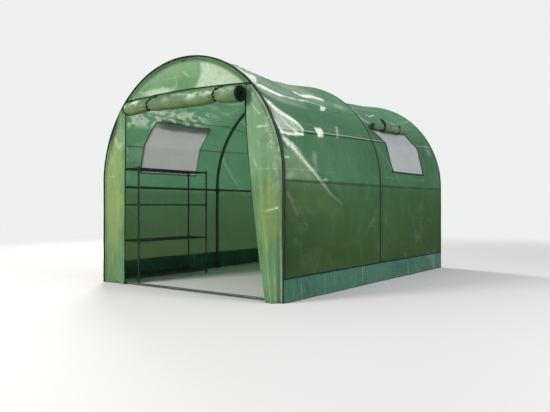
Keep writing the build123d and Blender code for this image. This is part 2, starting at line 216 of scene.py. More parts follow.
def waves(u, v, seed):
    """Smooth random field from -1 to 1 that changes over about one unit of u and v"""
    size = 64
    lattice = np.random.default_rng(seed).uniform(-1, 1, (size, size))
    u, v = np.broadcast_arrays(np.asarray(u, float), np.asarray(v, float))
    iu, iv = np.floor(u).astype(int), np.floor(v).astype(int)
    fu, fv = ramp(u - iu, 0, 1), ramp(v - iv, 0, 1)
    low, high = (lattice[iu % size, j % size] * (1 - fu) + lattice[(iu + 1) % size, j % size] * fu
                 for j in (iv, iv + 1))
    return low * (1 - fv) + high * fv


def folds(u, v, seed):
    """Crumples with sharp ridges: folded smooth noise of two scales"""
    coarse = 1 - 2 * np.abs(waves(u, v, seed))
    fine = 1 - 2 * np.abs(waves(u * 2.3 + 9, v * 2.1 + 5, seed + 1))
    return 0.68 * coarse + 0.32 * fine


def creases(u, v, table):
    """Tent-shaped ridges that fade out at their far ends; each row of the table holds where one
    starts and ends, its height and its width"""
    total = 0.0
    for u0, v0, u1, v1, height, width in table:
        length = math.hypot(u1 - u0, v1 - v0)
        du, dv = (u1 - u0) / length, (v1 - v0) / length
        t = ((u - u0) * du + (v - v0) * dv) / length
        across = np.abs((u - u0) * dv - (v - v0) * du)
        tent = np.clip(1 - across / (width * (0.45 + 0.55 * np.clip(t, 0, 1))), 0, 1) ** 1.7
        total = total + height * tent * ramp(t, -0.02, 0.10) * (1 - ramp(t, 0.75, 1.0))
    return total


def from_span(u, v, a, b):
    """Nearest place on the span from a to b, 0 to 1, and the distance from it"""
    du, dv = b[0] - a[0], b[1] - a[1]
    t = np.clip(((u - a[0]) * du + (v - a[1]) * dv) / (du ** 2 + dv ** 2), 0, 1)
    return t, np.hypot(u - a[0] - t * du, v - a[1] - t * dv)


def pale_lines(u, v, table, wide=1.0, core=lambda near: near):
    """Pale lines over the film; each row of the table holds the width of one, its strength at its
    start and end, and its points"""
    pale = np.zeros(np.broadcast(u, v).shape)
    for width, first, last, *flat in table:
        points = list(zip(flat[::2], flat[1::2]))
        spans = [math.dist(a, b) for a, b in zip(points, points[1:])]
        best, along = np.inf, 0.0
        for number, (a, b) in enumerate(zip(points, points[1:])):
            t, away = from_span(u, v, a, b)
            along = np.where(away < best, (sum(spans[:number]) + t * spans[number]) / sum(spans), along)
            best = np.minimum(best, away)
        near = core(np.clip(1 - best / (wide * width), 0, 1))
        pale = np.maximum(pale, near * (first + (last - first) * along))
    return pale


def inside(u, v, corners, soft):
    """1 inside a ring of corners and 0 outside it, with a soft edge"""
    away = np.inf
    within = np.zeros(np.broadcast(u, v).shape, bool)
    for a, b in zip(corners, corners[1:] + corners[:1]):
        away = np.minimum(away, from_span(u, v, a, b)[1])
        if b[1] != a[1]:
            slope = (b[0] - a[0]) / (b[1] - a[1])
            within ^= ((a[1] > v) != (b[1] > v)) & (u < a[0] + (v - a[1]) * slope)
    return ramp(np.where(within, away, -away), -soft, soft)


def spot(u, v, u0, v0, wide, tall, lean=0.0):
    """Soft oval patch with an uneven edge"""
    du, dv = u - u0, v - v0
    du, dv = du * math.cos(lean) + dv * math.sin(lean), dv * math.cos(lean) - du * math.sin(lean)
    away = np.hypot(du / wide, dv / tall) + 0.35 * waves(u / 0.05, v / 0.035, 301)
    return 1 - ramp(away, 0.45, 1.1)


def joined(*parts):
    """Arrays as the parts of points or colours, on a last axis"""
    return np.stack(np.broadcast_arrays(*parts), axis=-1)


def unit(vectors):
    """Directions of length one"""
    return vectors / np.linalg.norm(vectors, axis=-1)[..., None]


def heading(path):
    """Directions along a path"""
    return unit(np.gradient(path, axis=0))


def lengths_along(path):
    """Length of a path from its start to each of its points"""
    return np.concatenate([[0], np.cumsum(np.linalg.norm(np.diff(path, axis=0), axis=1))])


def even(start, stop, cell, *fixed):
    """Even places from start to stop that also hit the fixed ones"""
    stops = sorted({start, stop, *[f for f in fixed if start < f < stop]})
    places = [start]
    for low, high in zip(stops, stops[1:]):
        count = max(1, round((high - low) / cell))
        places += [low + (high - low) * i / count for i in range(1, count + 1)]
    return np.array(places)


# Meshes and pieces

def new_mesh(name, points, faces, uv):
    """Smooth mesh whose UV map is its flat place in metres"""
    mesh = bpy.data.meshes.new(name)
    mesh.from_pydata(points, [], faces)
    mesh.uv_layers.new(name="flat").data.foreach_set("uv", np.asarray(uv, np.float32).ravel())
    mesh.shade_smooth()
    return mesh


def sheet_mesh(name, points, uv, keep=None, painted_light=None, flip=False, tube=False, caps=True):
    """Mesh of quads over a grid of points, or of rings for a tube; the painted light given for each
    point holds its painted glare, pale as on crumpled film, its painted shade and its painted warm
    glow of light shining through"""
    if flip:
        points, uv, keep, painted_light = (a if a is None else a[:, ::-1] for a in (points, uv, keep, painted_light))
    rows, columns = points.shape[:2]
    index = np.arange(rows * columns).reshape(rows, columns)
    ends = [index[0, ::-1].tolist(), index[-1].tolist()]
    if tube:
        index = np.concatenate([index, index[:, :1]], axis=1)
    quads = np.stack([index[:-1, :-1], index[:-1, 1:], index[1:, 1:], index[1:, :-1]], axis=-1)
    quads = (quads if keep is None else quads[keep]).reshape(-1, 4)
    used, local = np.unique(quads, return_inverse=True)
    faces = local.reshape(-1, 4).tolist()
    corners = uv.reshape(-1, 2)[quads.ravel()]
    if tube and caps:
        faces += ends
        corners = np.concatenate([corners, np.zeros((2 * columns, 2))])
    mesh = new_mesh(name, points.reshape(-1, 3)[used].tolist(), faces, corners)
    # Painted light for each point: painted glare, painted shade and a painted warm glow
    if painted_light is not None:
        colours = np.ones((len(used), 4), np.float32)
        colours[:, :3] = np.clip(painted_light, 0, 1).reshape(-1, 3)[used]
        mesh.attributes.new("painted_light", "FLOAT_COLOR", "POINT").data.foreach_set("color", colours.ravel())
    return mesh


def add_piece(mesh, finish, replaces=(), thickness=0.0, offset=-1.0):
    """Object of one mesh that rides on the tunnel, with its finish and its place in the frame"""
    piece = bpy.data.objects.new(mesh.name, mesh)
    bpy.context.collection.objects.link(piece)
    mesh.materials.clear()
    mesh.materials.append(material(finish))
    if thickness:
        solid = piece.modifiers.new("thickness", "SOLIDIFY")
        solid.thickness, solid.offset, solid.use_even_offset = thickness, offset, False
    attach(piece, "root")
    if replaces:
        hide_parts(*replaces)
    return piece


def add_tapes(name, meshes, *replaces):
    """One piece of black tape out of closed meshes, with their faces turned outwards"""
    points, faces, uv = [], [], []
    for mesh in meshes:
        work = bmesh.new()
        work.from_mesh(mesh)
        bmesh.ops.recalc_face_normals(work, faces=work.faces[:])
        work.to_mesh(mesh)
        work.free()
        faces += [[len(points) + i for i in p.vertices] for p in mesh.polygons]
        points += [tuple(v.co) for v in mesh.vertices]
        uv += [tuple(corner.uv) for corner in mesh.uv_layers.active.data]
        bpy.data.meshes.remove(mesh)
    add_piece(new_mesh(name, points, faces, uv), "tape", replaces)


def round_tube(path, outward, across, radius, flat_by=1.0, sides=12):
    """Round or flattened tube along a path, from two directions across it"""
    turn = np.linspace(0, 2 * math.pi, sides, endpoint=False)
    return capped_tube(np.stack([
        path + outward * (radius * math.cos(a)) + across * (radius * flat_by * math.sin(a))
        for a in turn], axis=1))


def capped_tube(rings):
    """Tube through rings of points, with a face over both of its ends"""
    rows, columns = rings.shape[:2]
    uv = joined(np.arange(columns)[None, :] * 0.002, np.arange(rows)[:, None] * 0.004)
    return sheet_mesh("tube", rings, uv, tube=True)


def ribbon(path, sideways, outward, width, thickness, closed=False):
    """Flat band along a path, with a rounded section, from its width and outward directions"""
    half, thick = width / 2, thickness / 2
    section = [(-half, -thick), (-half, thick * 0.4), (-half * 0.86, thick), (0, thick),
               (half * 0.86, thick), (half, thick * 0.4), (half, -thick), (0, -thick)]
    rings = np.stack([path + sideways * a + outward * b for a, b in section], axis=1)
    uv = joined(np.array([a for a, b in section])[None, :], lengths_along(path)[:, None])
    if closed:
        rings = np.concatenate([rings, rings[:1]])
        uv = np.concatenate([uv, uv[-1:] + [0, 0.01]])
    return sheet_mesh("band", rings, uv, tube=True, caps=not closed)


def sewn_band(path, sideways, outward, width, thickness, lift, ways):
    """Flat band along a path, and its rows of stitches as (points, outward directions), lifted off
    the path and some ways to its sides"""
    outward = np.broadcast_to(outward, path.shape)
    rows = [(path + outward * lift + sideways * way, outward) for way in ways]
    return ribbon(path, sideways, outward, width, thickness), rows


# Node trees

class Tree:
    """Short way to add and join nodes of one tree"""

    def __init__(self, tree):
        self.tree = tree
        tree.nodes.clear()

    def add(self, kind, inputs=None, **values):
        """One node: values are its own settings, inputs its sockets by name or number"""
        node = self.tree.nodes.new(kind)
        for key, value in values.items():
            setattr(node, key, value)
        for key, value in (inputs or {}).items():
            if isinstance(value, bpy.types.NodeSocket):
                self.tree.links.new(value, node.inputs[key])
            else:
                node.inputs[key].default_value = value
        return node

    def math(self, operation, a, b=0.0, c=0.0, clamp=False):
        """Output of one maths node"""
        return self.add("ShaderNodeMath", {0: a, 1: b, 2: c}, operation=operation,
                        use_clamp=clamp).outputs[0]

    def times(self, a, b):
        """Product of two values"""
        return self.math("MULTIPLY", a, b)

    def away(self, value, middle):
        """Distance of a value from its middle"""
        return self.math("ABSOLUTE", self.math("SUBTRACT", value, middle))

    def mix(self, factor, a, b, blend="MIX"):
        """Output of one colour mix"""
        a, b = (c if isinstance(c, bpy.types.NodeSocket) else (*c, 1.0)[:4] for c in (a, b))
        return self.add("ShaderNodeMix", {0: factor, 6: a, 7: b}, data_type="RGBA", blend_type=blend,
                        clamp_factor=True).outputs[2]

    def noise(self, vector, scale, detail=3.0, roughness=0.55, distortion=0.0):
        """Output value of one noise texture"""
        return self.add("ShaderNodeTexNoise", {
            "Vector": vector, "Scale": scale, "Detail": detail, "Roughness": roughness,
            "Distortion": distortion}).outputs["Fac"]

    def spread(self, value, low, high, to_low=0.0, to_high=1.0):
        """Output of one smooth map range"""
        return self.add("ShaderNodeMapRange", {
            "Value": value, "From Min": low, "From Max": high, "To Min": to_low, "To Max": to_high},
            interpolation_type="SMOOTHSTEP").outputs["Result"]

    def bump(self, height, strength, distance, normal=None):
        """Output normal of one bump node"""
        inputs = {"Height": height, "Strength": strength, "Distance": distance}
        if normal is not None:
            inputs["Normal"] = normal
        return self.add("ShaderNodeBump", inputs).outputs["Normal"]

    def stretched(self, vector, scale, turn=0.0):
        """Vector turned in its plane and scaled"""
        return self.add("ShaderNodeMapping", {
            "Vector": vector, "Rotation": (0.0, 0.0, turn), "Scale": scale}).outputs["Vector"]

    def place(self):
        """Place in space"""
        return self.add("ShaderNodeTexCoord").outputs["Object"]

    def flat(self):
        """Flat place in metres, and its two parts"""
        flat = self.add("ShaderNodeUVMap", uv_map="flat").outputs["UV"]
        split = self.add("ShaderNodeSeparateXYZ", {"Vector": flat}).outputs
        return flat, split["X"], split["Y"]

    def woven(self, x, y, spacing, share):
        """1 on the threads of a woven grid and 0 between them"""
        ways = [self.spread(self.away(self.math("FRACT", self.math("DIVIDE", axis, spacing)), 0.5),
                            share * 0.5, share * 0.5 * 0.35) for axis in (x, y)]
        return self.math("MAXIMUM", *ways)

    def blend(self, factor, a, b):
        """Mix of two shaders"""
        return self.add("ShaderNodeMixShader", {0: factor, 1: a, 2: b}).outputs[0]

    def clear(self, colour=(1, 1, 1)):
        """Transparent shader"""
        return self.add("ShaderNodeBsdfTransparent", {"Color": (*colour, 1)}).outputs[0]

    def glow(self, colour, normal):
        """Translucent shader"""
        return self.add("ShaderNodeBsdfTranslucent", {"Color": colour, "Normal": normal}).outputs["BSDF"]

    def paint(self, colour, roughness, specular, normal=None):
        """Principled shader; constants are set on its own sockets"""
        inputs = {"Base Color": colour, "Roughness": roughness, "Specular IOR Level": specular}
        if normal is not None:
            inputs["Normal"] = normal
        return self.add("ShaderNodeBsdfPrincipled", inputs).outputs["BSDF"]

    def finish(self, shader):
        """Joins a shader to the material's output"""
        self.add("ShaderNodeOutputMaterial", {"Surface": shader})


def new_material(name):
    """Empty node material and its tree"""
    made = bpy.data.materials.new(name)
    made.use_nodes = True
    return made, Tree(made.node_tree)


def scaled(colour, by, plus=0.0):
    """Colour times a number, or times one number for each of its parts"""
    by = by if isinstance(by, tuple) else (by, by, by)
    return tuple(min(1.0, c * k + plus) for c, k in zip(colour, by))


def film_material(name, colour, glow, through=0.24, glow_share=0.42, roughness=0.30, seams=(), painted_wall_shade=0.0):
    """Reinforced film: a woven grid of threads inside glossy, milky plastic, with lapped seams"""
    made, tree = new_material(name)
    flat, across, up = tree.flat()
    place = tree.place()
    threads = tree.woven(across, up, *FILM_THREADS)
    mottle = tree.noise(place, 1.7, 4.0, 0.6, 0.4)
    streak = tree.noise(tree.stretched(flat, (34.0, 3.0, 1.0)), 1.0, 3.0)
    haze_and_sky_sheen = tree.spread(tree.math("MULTIPLY_ADD", streak, 0.45, mottle), 0.50, 0.95)
    body = tree.mix(haze_and_sky_sheen, scaled(colour, 0.86), scaled(colour, 1.12, 0.020))
    body = tree.mix(tree.times(threads, 0.35), body, scaled(colour, 1.45))
    shine = tree.mix(haze_and_sky_sheen, scaled(glow, 0.84), glow)

    def tinted(factor, on_body, on_shine):
        """The body's and the shine's colours, both mixed with another one"""
        return tree.mix(factor, body, on_body), tree.mix(factor, shine, on_shine)

    # Old folds from the packet: thin pale lines that come and go
    ways = []
    for axis, spacing, shift in ((across, 0.47, 0.11), (up, 0.39, 0.07)):
        phase = tree.math("FRACT", tree.math("MULTIPLY_ADD", axis, 1 / spacing, shift))
        ways.append(tree.spread(tree.times(tree.away(phase, 0.5), spacing), 0.0045, 0.0006))
    packet = tree.times(tree.math("MAXIMUM", *ways), tree.spread(tree.noise(place, 2.3, 2.0), 0.46, 0.60))
    # Fine scuffs where the film has been crushed
    scuff = tree.noise(tree.stretched(flat, (14.0, 62.0, 1.0), 0.6), 1.0, 6.0, 0.72, 1.2)
    scuff = tree.spread(scuff, 0.60, 0.70)
    marks = tree.math("MAXIMUM", tree.times(packet, 0.40), tree.times(scuff, 0.20))
    body = tree.mix(marks, body, (0.55, 0.70, 0.58))
    lap = None
    for seam, climb, shows in seams:
        off = tree.math("SUBTRACT", tree.math("MULTIPLY_ADD", across, -climb, up), seam)
        band = tree.spread(tree.math("ABSOLUTE", off), 0.0095, 0.0080)
        edge = tree.spread(tree.away(off, 0.0065), 0.0060, 0.0025)
        under = tree.spread(tree.math("ABSOLUTE", tree.math("ADD", off, 0.0085)), 0.0085, 0.0040)
        # Painted shade just beneath each lap and a painted highlight along its edge
        body = tree.mix(tree.times(under, 0.80 * shows), body, scaled(colour, 0.22))
        body = tree.mix(tree.times(edge, 0.70 * shows), body, (0.70, 0.82, 0.72))
        lap = band if lap is None else tree.math("MAXIMUM", lap, band)
    height = tree.add("ShaderNodeSeparateXYZ", {"Vector": place}).outputs["Z"]
    splash = tree.times(tree.spread(height, 0.24, 0.0),
                        tree.spread(tree.noise(place, 24.0, 6.0, 0.7), 0.42, 0.70))
    body = tree.mix(tree.times(splash, 0.35), body, (0.20, 0.17, 0.11))
    # Painted light given for each point: painted glare, pale and hazy in specks as on crumpled film,
    #     # a painted warm glow of light shining through, and painted shade, as behind the hoops
    painted_light = tree.add("ShaderNodeSeparateColor", {
        "Color": tree.add("ShaderNodeAttribute", attribute_name="painted_light").outputs["Color"]}).outputs
    speck = tree.math("MULTIPLY_ADD", tree.noise(place, 38.0, 4.0, 0.7), 1.9, 0.15)
    crushed_and_glare = tree.math("MULTIPLY", painted_light["Red"], tree.math("MAXIMUM", speck, 0.35), clamp=True)
    body, shine = tinted(crushed_and_glare, (0.92, 0.95, 0.87), (0.90, 0.98, 0.91))
    body = tree.mix(tree.times(painted_light["Blue"], 0.55), body, (0.46, 0.50, 0.17))
    shine = tree.mix(tree.times(painted_light["Blue"], 0.8), shine, (0.80, 0.76, 0.26))
    body = tree.mix(tree.times(painted_light["Green"], 0.8), body, scaled(colour, 0.22))
    shine = tree.mix(painted_light["Green"], shine, scaled(glow, 0.14))
    if lap is not None:
        shine = tree.mix(tree.times(lap, 0.7), shine, scaled(glow, 0.25))
    if painted_wall_shade:
        # Painted sky sheen: the roof is lighter and minty towards the top
        painted_sky_sheen = tree.times(tree.spread(height, 1.25, 1.75), 0.75)
        body = tree.mix(painted_sky_sheen, body, scaled(colour, (2.5, 2.3, 2.8)), "LIGHTEN")
        # Painted shade: the wall darkens towards the ground, with a step at the rail
        low = tree.math("MULTIPLY_ADD", tree.spread(height, 0.90, 0.78), 0.55,
                        tree.times(tree.spread(height, 0.95, 0.20), 0.45))
        body, shine = tinted(tree.times(low, painted_wall_shade), scaled(colour, (0.54, 0.43, 0.14)),
                             scaled(glow, (0.46, 0.35, 0.10)))
        # Painted shade of the rail: a dark line where the film lies on it
        rail_shade = tree.times(tree.spread(tree.away(height, RAIL), 0.014, 0.006),
                             tree.spread(tree.noise(place, 5.0, 2.0), 0.25, 0.50, 0.20, 0.50))
        body, shine = tinted(rail_shade, scaled(colour, 0.15), scaled(glow, 0.12))
    normal = tree.bump(tree.noise(place, 21.0, 4.0, 0.6, 0.7), 0.30, 0.005)
    normal = tree.bump(tree.math("ADD", packet, tree.times(threads, 0.35)), 0.55, 0.0012, normal)
    if lap is not None:
        normal = tree.bump(lap, 0.9, 0.0022, normal)
    fine = tree.noise(place, 46.0, 3.0, 0.6)
    patch = tree.math("MULTIPLY_ADD", fine, 0.35, tree.noise(place, 4.2, 3.0, 0.6, 0.5))
    patch = tree.spread(patch, 0.68, 0.84)
    gloss = tree.spread(patch, 0.0, 1.0, roughness + 0.14, roughness - 0.09)
    surface = tree.paint(body, gloss, tree.spread(patch, 0.0, 1.0, 0.08, 0.42), normal)
    shader = tree.blend(tree.math("MULTIPLY_ADD", crushed_and_glare, -0.35 * glow_share, glow_share),
                        surface, tree.glow(shine, normal))
    if through:
        shader = tree.blend(tree.math("MULTIPLY_ADD", crushed_and_glare, -0.8 * through, through),
                            shader, tree.clear(scaled(glow, 0.55, 0.45)))
    tree.finish(shader)
    return made


def net_material():
    """Insect net: a fine grid of pale threads with holes between them"""
    made, tree = new_material("insect_net")
    threads = tree.woven(*tree.flat()[1:], *NET_THREADS)
    place = tree.place()
    colour = settings("windows").net_colour
    dust = tree.spread(tree.noise(place, 7.0, 5.0, 0.65), 0.35, 0.75)
    body = tree.mix(tree.times(dust, 0.35), colour, scaled(colour, 0.72))
    normal = tree.bump(tree.noise(place, 30.0, 3.0), 0.25, 0.004)
    normal = tree.bump(threads, 0.5, 0.0003, normal)
    cloth = tree.paint(body, roughness=0.75, specular=0.25, normal=normal)
    cloth = tree.blend(0.42, cloth, tree.glow((0.66, 0.67, 0.67, 1), normal))
    tree.finish(tree.blend(tree.math("MULTIPLY_ADD", threads, -0.16, 0.20), cloth, tree.clear()))
    return made


def steel_material(name, colour, scale=1.0):
    """Powder-coated tube with orange peel, rubbed spots and dust"""
    made, tree = new_material(name)
    place = tree.place()
    cloud = tree.spread(tree.noise(place, 5.0 * scale, 5.0, 0.6), 0.3, 0.7)
    scuff = tree.noise(tree.stretched(place, (40.0, 40.0, 9.0)), 1.0, 6.0, 0.7)
    scuff = tree.spread(scuff, 0.62, 0.72)
    body = tree.mix(cloud, scaled(colour, 0.8), scaled(colour, 1.35, 0.004))
    body = tree.mix(tree.times(scuff, 0.45), body, (0.16, 0.18, 0.16))
    normal = tree.bump(tree.noise(place, 900.0, 2.0), 0.25, 0.0004)
    gloss = tree.math("MULTIPLY_ADD", scuff, 0.22, 0.36)
    tree.finish(tree.paint(body, gloss, specular=0.5, normal=normal))
    return made


def dusty_material(name, colour, dusty, cloud, strength, grain, roughness, specular):
    """Black tape, thread or moulded plastic: cloud holds the scale, detail and range of its dust and
    strength how much it shows, grain the scale, detail, strength and depth of its surface, with no
    detail where it is woven, and roughness is a pair where the dust changes it"""
    made, tree = new_material(name)
    place = tree.place()
    dust = tree.spread(tree.noise(place, *cloud[:2], 0.7), *cloud[2:])
    body = tree.mix(tree.times(dust, strength), colour, dusty)
    scale, detail, height, depth = grain
    surface = (tree.noise(place, scale, detail) if detail else tree.add(
        "ShaderNodeTexVoronoi", {"Vector": place, "Scale": scale}).outputs["Distance"])
    gloss = tree.spread(dust, 0.0, 1.0, *roughness) if isinstance(roughness, tuple) else roughness
    tree.finish(tree.paint(body, gloss, specular, tree.bump(surface, height, depth)))
    return made


def small_parts_material(name, colour, roughness):
    """Thread or teeth, a little dusty"""
    return dusty_material(name, colour, scaled(colour, 2.4, 0.012), cloud=(18.0, 4.0, 0.42, 0.72),
                          strength=0.5, grain=(1500.0, 2.0, 0.4, 0.0002), roughness=roughness,
                          specular=0.45)


MAKERS = {
    "cover": lambda: film_material(
        "cover_film", settings("cover").film_colour, settings("cover").glow_colour, seams=SEAMS,
        painted_wall_shade=0.83),
    # The ends, the door and the flaps get a lighter copy of the cover film, painted as more brightly lit
    "film": lambda: film_material(
        "lit_end_film", scaled(settings("cover").film_colour, (2.32, 1.78, 1.80)),
        scaled(settings("cover").glow_colour, (1.50, 1.26, 1.08)), glow_share=0.5),
    "skirt": lambda: film_material(
        "skirt_film", settings("cover").skirt_colour, settings("cover").skirt_colour, through=0.0,
        glow_share=0.12, roughness=0.38),
    "net": net_material,
    "tape": lambda: dusty_material(
        "black_tape", settings("trim").tape_colour, scaled(settings("trim").tape_colour, 2.0, 0.008),
        cloud=(9.0, 6.0, 0.45, 0.78), strength=0.45, grain=(620.0, 0.0, 0.6, 0.0008), roughness=0.62,
        specular=0.08),
    "thread": lambda: small_parts_material("sewing_thread", (0.030, 0.045, 0.036), 0.6),
    "teeth": lambda: small_parts_material("zip_teeth", (0.014, 0.020, 0.017), 0.38),
    "steel": lambda: steel_material("frame_paint", (0.020, 0.040, 0.027)),
    "rack": lambda: steel_material("rack_paint", (0.016, 0.032, 0.024), scale=2.0),
    "plastic": lambda: dusty_material(
        "moulded_plastic", (0.012, 0.015, 0.012), (0.06, 0.06, 0.05), cloud=(14.0, 6.0, 0.4, 0.75),
        strength=0.5, grain=(400.0, 3.0, 0.3, 0.0005), roughness=(0.42, 0.62), specular=0.45),
}
MATERIALS = {}


def material(name):
    """Each finish, made once when it is first asked for"""
    if name not in MATERIALS:
        MATERIALS[name] = MAKERS[name]()
    return MATERIALS[name]


# The cover. Its tables hold places as pairs of distance behind the front and girth

# Creases of each side: start, end, height and width
CREASES = {
    RIGHT: (
        (0, 1.645, 0.56, 1.615, 0.018, 0.06), (0.5, 1.612, 1.02, 1.62, 0.02, 0.09),
        (-0.02, 1.545, 0.36, 1.25, 0.022, 0.075), (0, 1.22, 0.95, 0.64, 0.024, 0.09),
        (0.02, 0.83, 0.32, 0.48, 0.012, 0.06), (0.04, 1.96, 0.62, 1.85, 0.018, 0.09),
        (0.05, 1.8, 0.8, 1.74, 0.016, 0.08), (1.5, 1.7, 1.98, 1.6, 0.026, 0.09),
        (1.5, 1.24, 1.95, 0.9, 0.01, 0.08), (2.98, 1.5, 2.55, 1.18, 0.016, 0.08),
        (2.98, 1.75, 2.4, 1.64, 0.02, 0.09), (2.98, 0.98, 2.6, 0.62, 0.008, 0.07),
        (1.46, 0.7, 1.15, 0.4, 0.006, 0.06), (1.46, 1.65, 1.1, 1.76, 0.018, 0.08),
    ),
    LEFT: (
        (0, 1.7, 0.85, 1.54, 0.026, 0.11), (0, 1.42, 0.36, 1.06, 0.02, 0.08),
        (1.48, 1.62, 0.95, 1.48, 0.022, 0.09), (1.5, 1.7, 2.15, 1.54, 0.026, 0.1),
        (1.5, 1.24, 2.05, 0.76, 0.016, 0.09), (2.98, 1.56, 2.4, 1.3, 0.02, 0.09),
        (0.02, 0.86, 0.6, 0.44, 0.012, 0.08), (2.98, 0.98, 2.45, 0.56, 0.012, 0.08),
        (0.04, 1.96, 0.7, 1.83, 0.016, 0.09), (2.98, 1.9, 2.35, 1.8, 0.018, 0.09),
    ),
}

# Lines of painted glare of each side, over crumpled film: width, strength at the start and the end, and
# the points
PAINTED_GLARE_LINES = {
    RIGHT: (
        (0.019, 1, 0.95, 0.05, 1.64, 0.17, 1.63, 0.29, 1.62, 0.54, 1.65, 0.71, 1.66),
        (0.055, 0.36, 0.15, 0.05, 1.62, 0.27, 1.59, 0.47, 1.59, 0.63, 1.59),
        (0.014, 0.85, 0.75, 0.74, 1.68, 0.85, 1.66, 0.93, 1.64),
        (0.034, 0.9, 1, 0.78, 1.82, 0.8, 1.79, 0.86, 1.78, 1.02, 1.8, 1.13, 1.78),
        (0.01, 0.6, 0.7, 0.89, 1.83, 1.05, 1.84),
        (0.014, 1, 0.95, 0, 1.53, 0.04, 1.46, 0.09, 1.42, 0.15, 1.38, 0.25, 1.33, 0.34, 1.27),
        (0.014, 0.95, 0.95, 0, 1.52, 0, 1.42, 0.01, 1.32, 0.04, 1.25, 0.05, 1.21),
        (0.011, 0.9, 0.9, 0.04, 1.21, 0.13, 1.21, 0.33, 1.23),
        (0.01, 0.55, 0.9, 0.05, 1.45, 0.1, 1.39, 0.15, 1.29, 0.25, 1.23),
        (0.009, 0.5, 0.6, 0.08, 1.42, 0.18, 1.35, 0.27, 1.29),
        (0.012, 0.85, 0.2, 0.11, 1.13, 0.18, 1.08, 0.28, 1.01, 0.37, 0.95, 0.5, 0.86, 0.63, 0.78, 0.81,
         0.7),
        (0.03, 0.36, 0.12, 0.13, 1.12, 0.22, 1.04, 0.36, 0.94),
        (0.008, 0.6, 0.6, 0.02, 1.04, 0.04, 1.03, 0.08, 1.03),
        (0.036, 0.16, 0.12, 0.44, 1.07, 0.39, 0.95),
        (0.016, 0.3, 0.25, 0.96, 1.38, 0.84, 1.26),
        (0.014, 0.28, 0.16, 0.04, 0.78, 0.1, 0.71, 0.17, 0.62),
        (0.012, 0.85, 0.7, 2.17, 1.87, 2.17, 1.82, 2.33, 1.86),
        (0.03, 0.3, 0.2, 2.24, 2.08, 2.42, 2.04, 2.61, 2.02),
        (0.014, 0.55, 0.45, 2.45, 1.76, 2.46, 1.69, 2.52, 1.68),
        (0.026, 0.4, 0.15, 1.52, 1.7, 1.66, 1.645, 1.98, 1.6),
        (0.016, 0.08, 0.04, 1.55, 1.23, 1.72, 1.08, 1.9, 0.92),
        (0.026, 0.12, 0.25, 2.5, 1.66, 2.75, 1.72, 2.98, 1.76),
    ),
    LEFT: (
        (0.022, 0.36, 0.1, 0.05, 1.7, 0.4, 1.62, 0.85, 1.54),
        (0.018, 0.32, 0.07, 0.03, 1.4, 0.2, 1.24, 0.38, 1.05),
        (0.024, 0.32, 0.1, 1.55, 1.7, 1.8, 1.62, 2.15, 1.54),
        (0.018, 0.27, 0.05, 1.54, 1.22, 1.8, 0.98, 2.05, 0.76),
        (0.022, 0.27, 0.07, 2.98, 1.56, 2.7, 1.44, 2.4, 1.3),
        (0.016, 0.18, 0.07, 0.05, 0.85, 0.3, 0.66, 0.6, 0.44),
    ),
}

# Patches of painted glare of each side: middle, width and height, lean and strength
PAINTED_GLARE_SPOTS = {
    RIGHT: (
        (0.53, 0.88, 0.05, 0.022, 0, 0.3), (0.78, 1.87, 0.22, 0.05, 0, 0.2),
        (0.07, 0.9, 0.08, 0.04, 0.3, 0.22), (2.82, 1.3, 0.12, 0.07, 0.4, 0.12),
        (1.28, 1.68, 0.12, 0.05, -0.2, 0.25), (1.9, 1.64, 0.11, 0.03, -0.1, 0.5),
    ),
    LEFT: (
        (0.35, 1.2, 0.18, 0.12, 0.5, 0.16), (1.9, 1.7, 0.16, 0.05, -0.1, 0.3),
        (2.6, 1.66, 0.2, 0.05, 0.1, 0.2), (0.2, 0.98, 0.1, 0.1, 0, 0.15),
    ),
}

# Facets of the right side with painted glare and a painted warm glow of light shining through: how pale
# and how warm, and the corners
PAINTED_LIGHT_FACETS = (
    (0.46, 0, 0, 1.53, 0.09, 1.42, 0.15, 1.38, 0.25, 1.33, 0.35, 1.27, 0.34, 1.23, 0.13, 1.21, 0.04, 1.21,
     0.01, 1.32, 0, 1.42),
    (0.95, 0, 0.53, 1.31, 0.64, 1.32, 0.62, 1.24, 0.54, 1.23),
    (0.95, 0, 0.04, 1.2, 0.05, 1.18, 0.12, 1.13, 0.18, 1.08, 0.15, 1.09, 0.08, 1.12, 0.04, 1.16),
    (0.95, 0, 0, 1.655, 0.04, 1.645, 0.15, 1.74, 0.2, 1.84, 0.11, 1.93, 0, 1.93),
    (0.55, 0.35, 0.31, 1.83, 0.41, 1.85, 0.42, 1.83, 0.27, 1.76),
    (0.95, 0, 0.95, 1.66, 1.02, 1.67, 1.06, 1.64, 0.94, 1.57, 0.88, 1.57),
    (0.12, 0.35, 0.03, 1.09, 0.11, 1.11, 0.22, 1.02, 0.35, 0.92, 0.44, 0.88, 0, 0.86),
    (0, 0.3, 0, 0.86, 0.45, 0.87, 0.64, 0.76, 0.82, 0.68, 0.83, 0.61, 0, 0.62),
)


def arch_angle(s):
    """Angle above the eaves at girth s"""
    return np.clip(s - EAVES, 0, None) / REACH


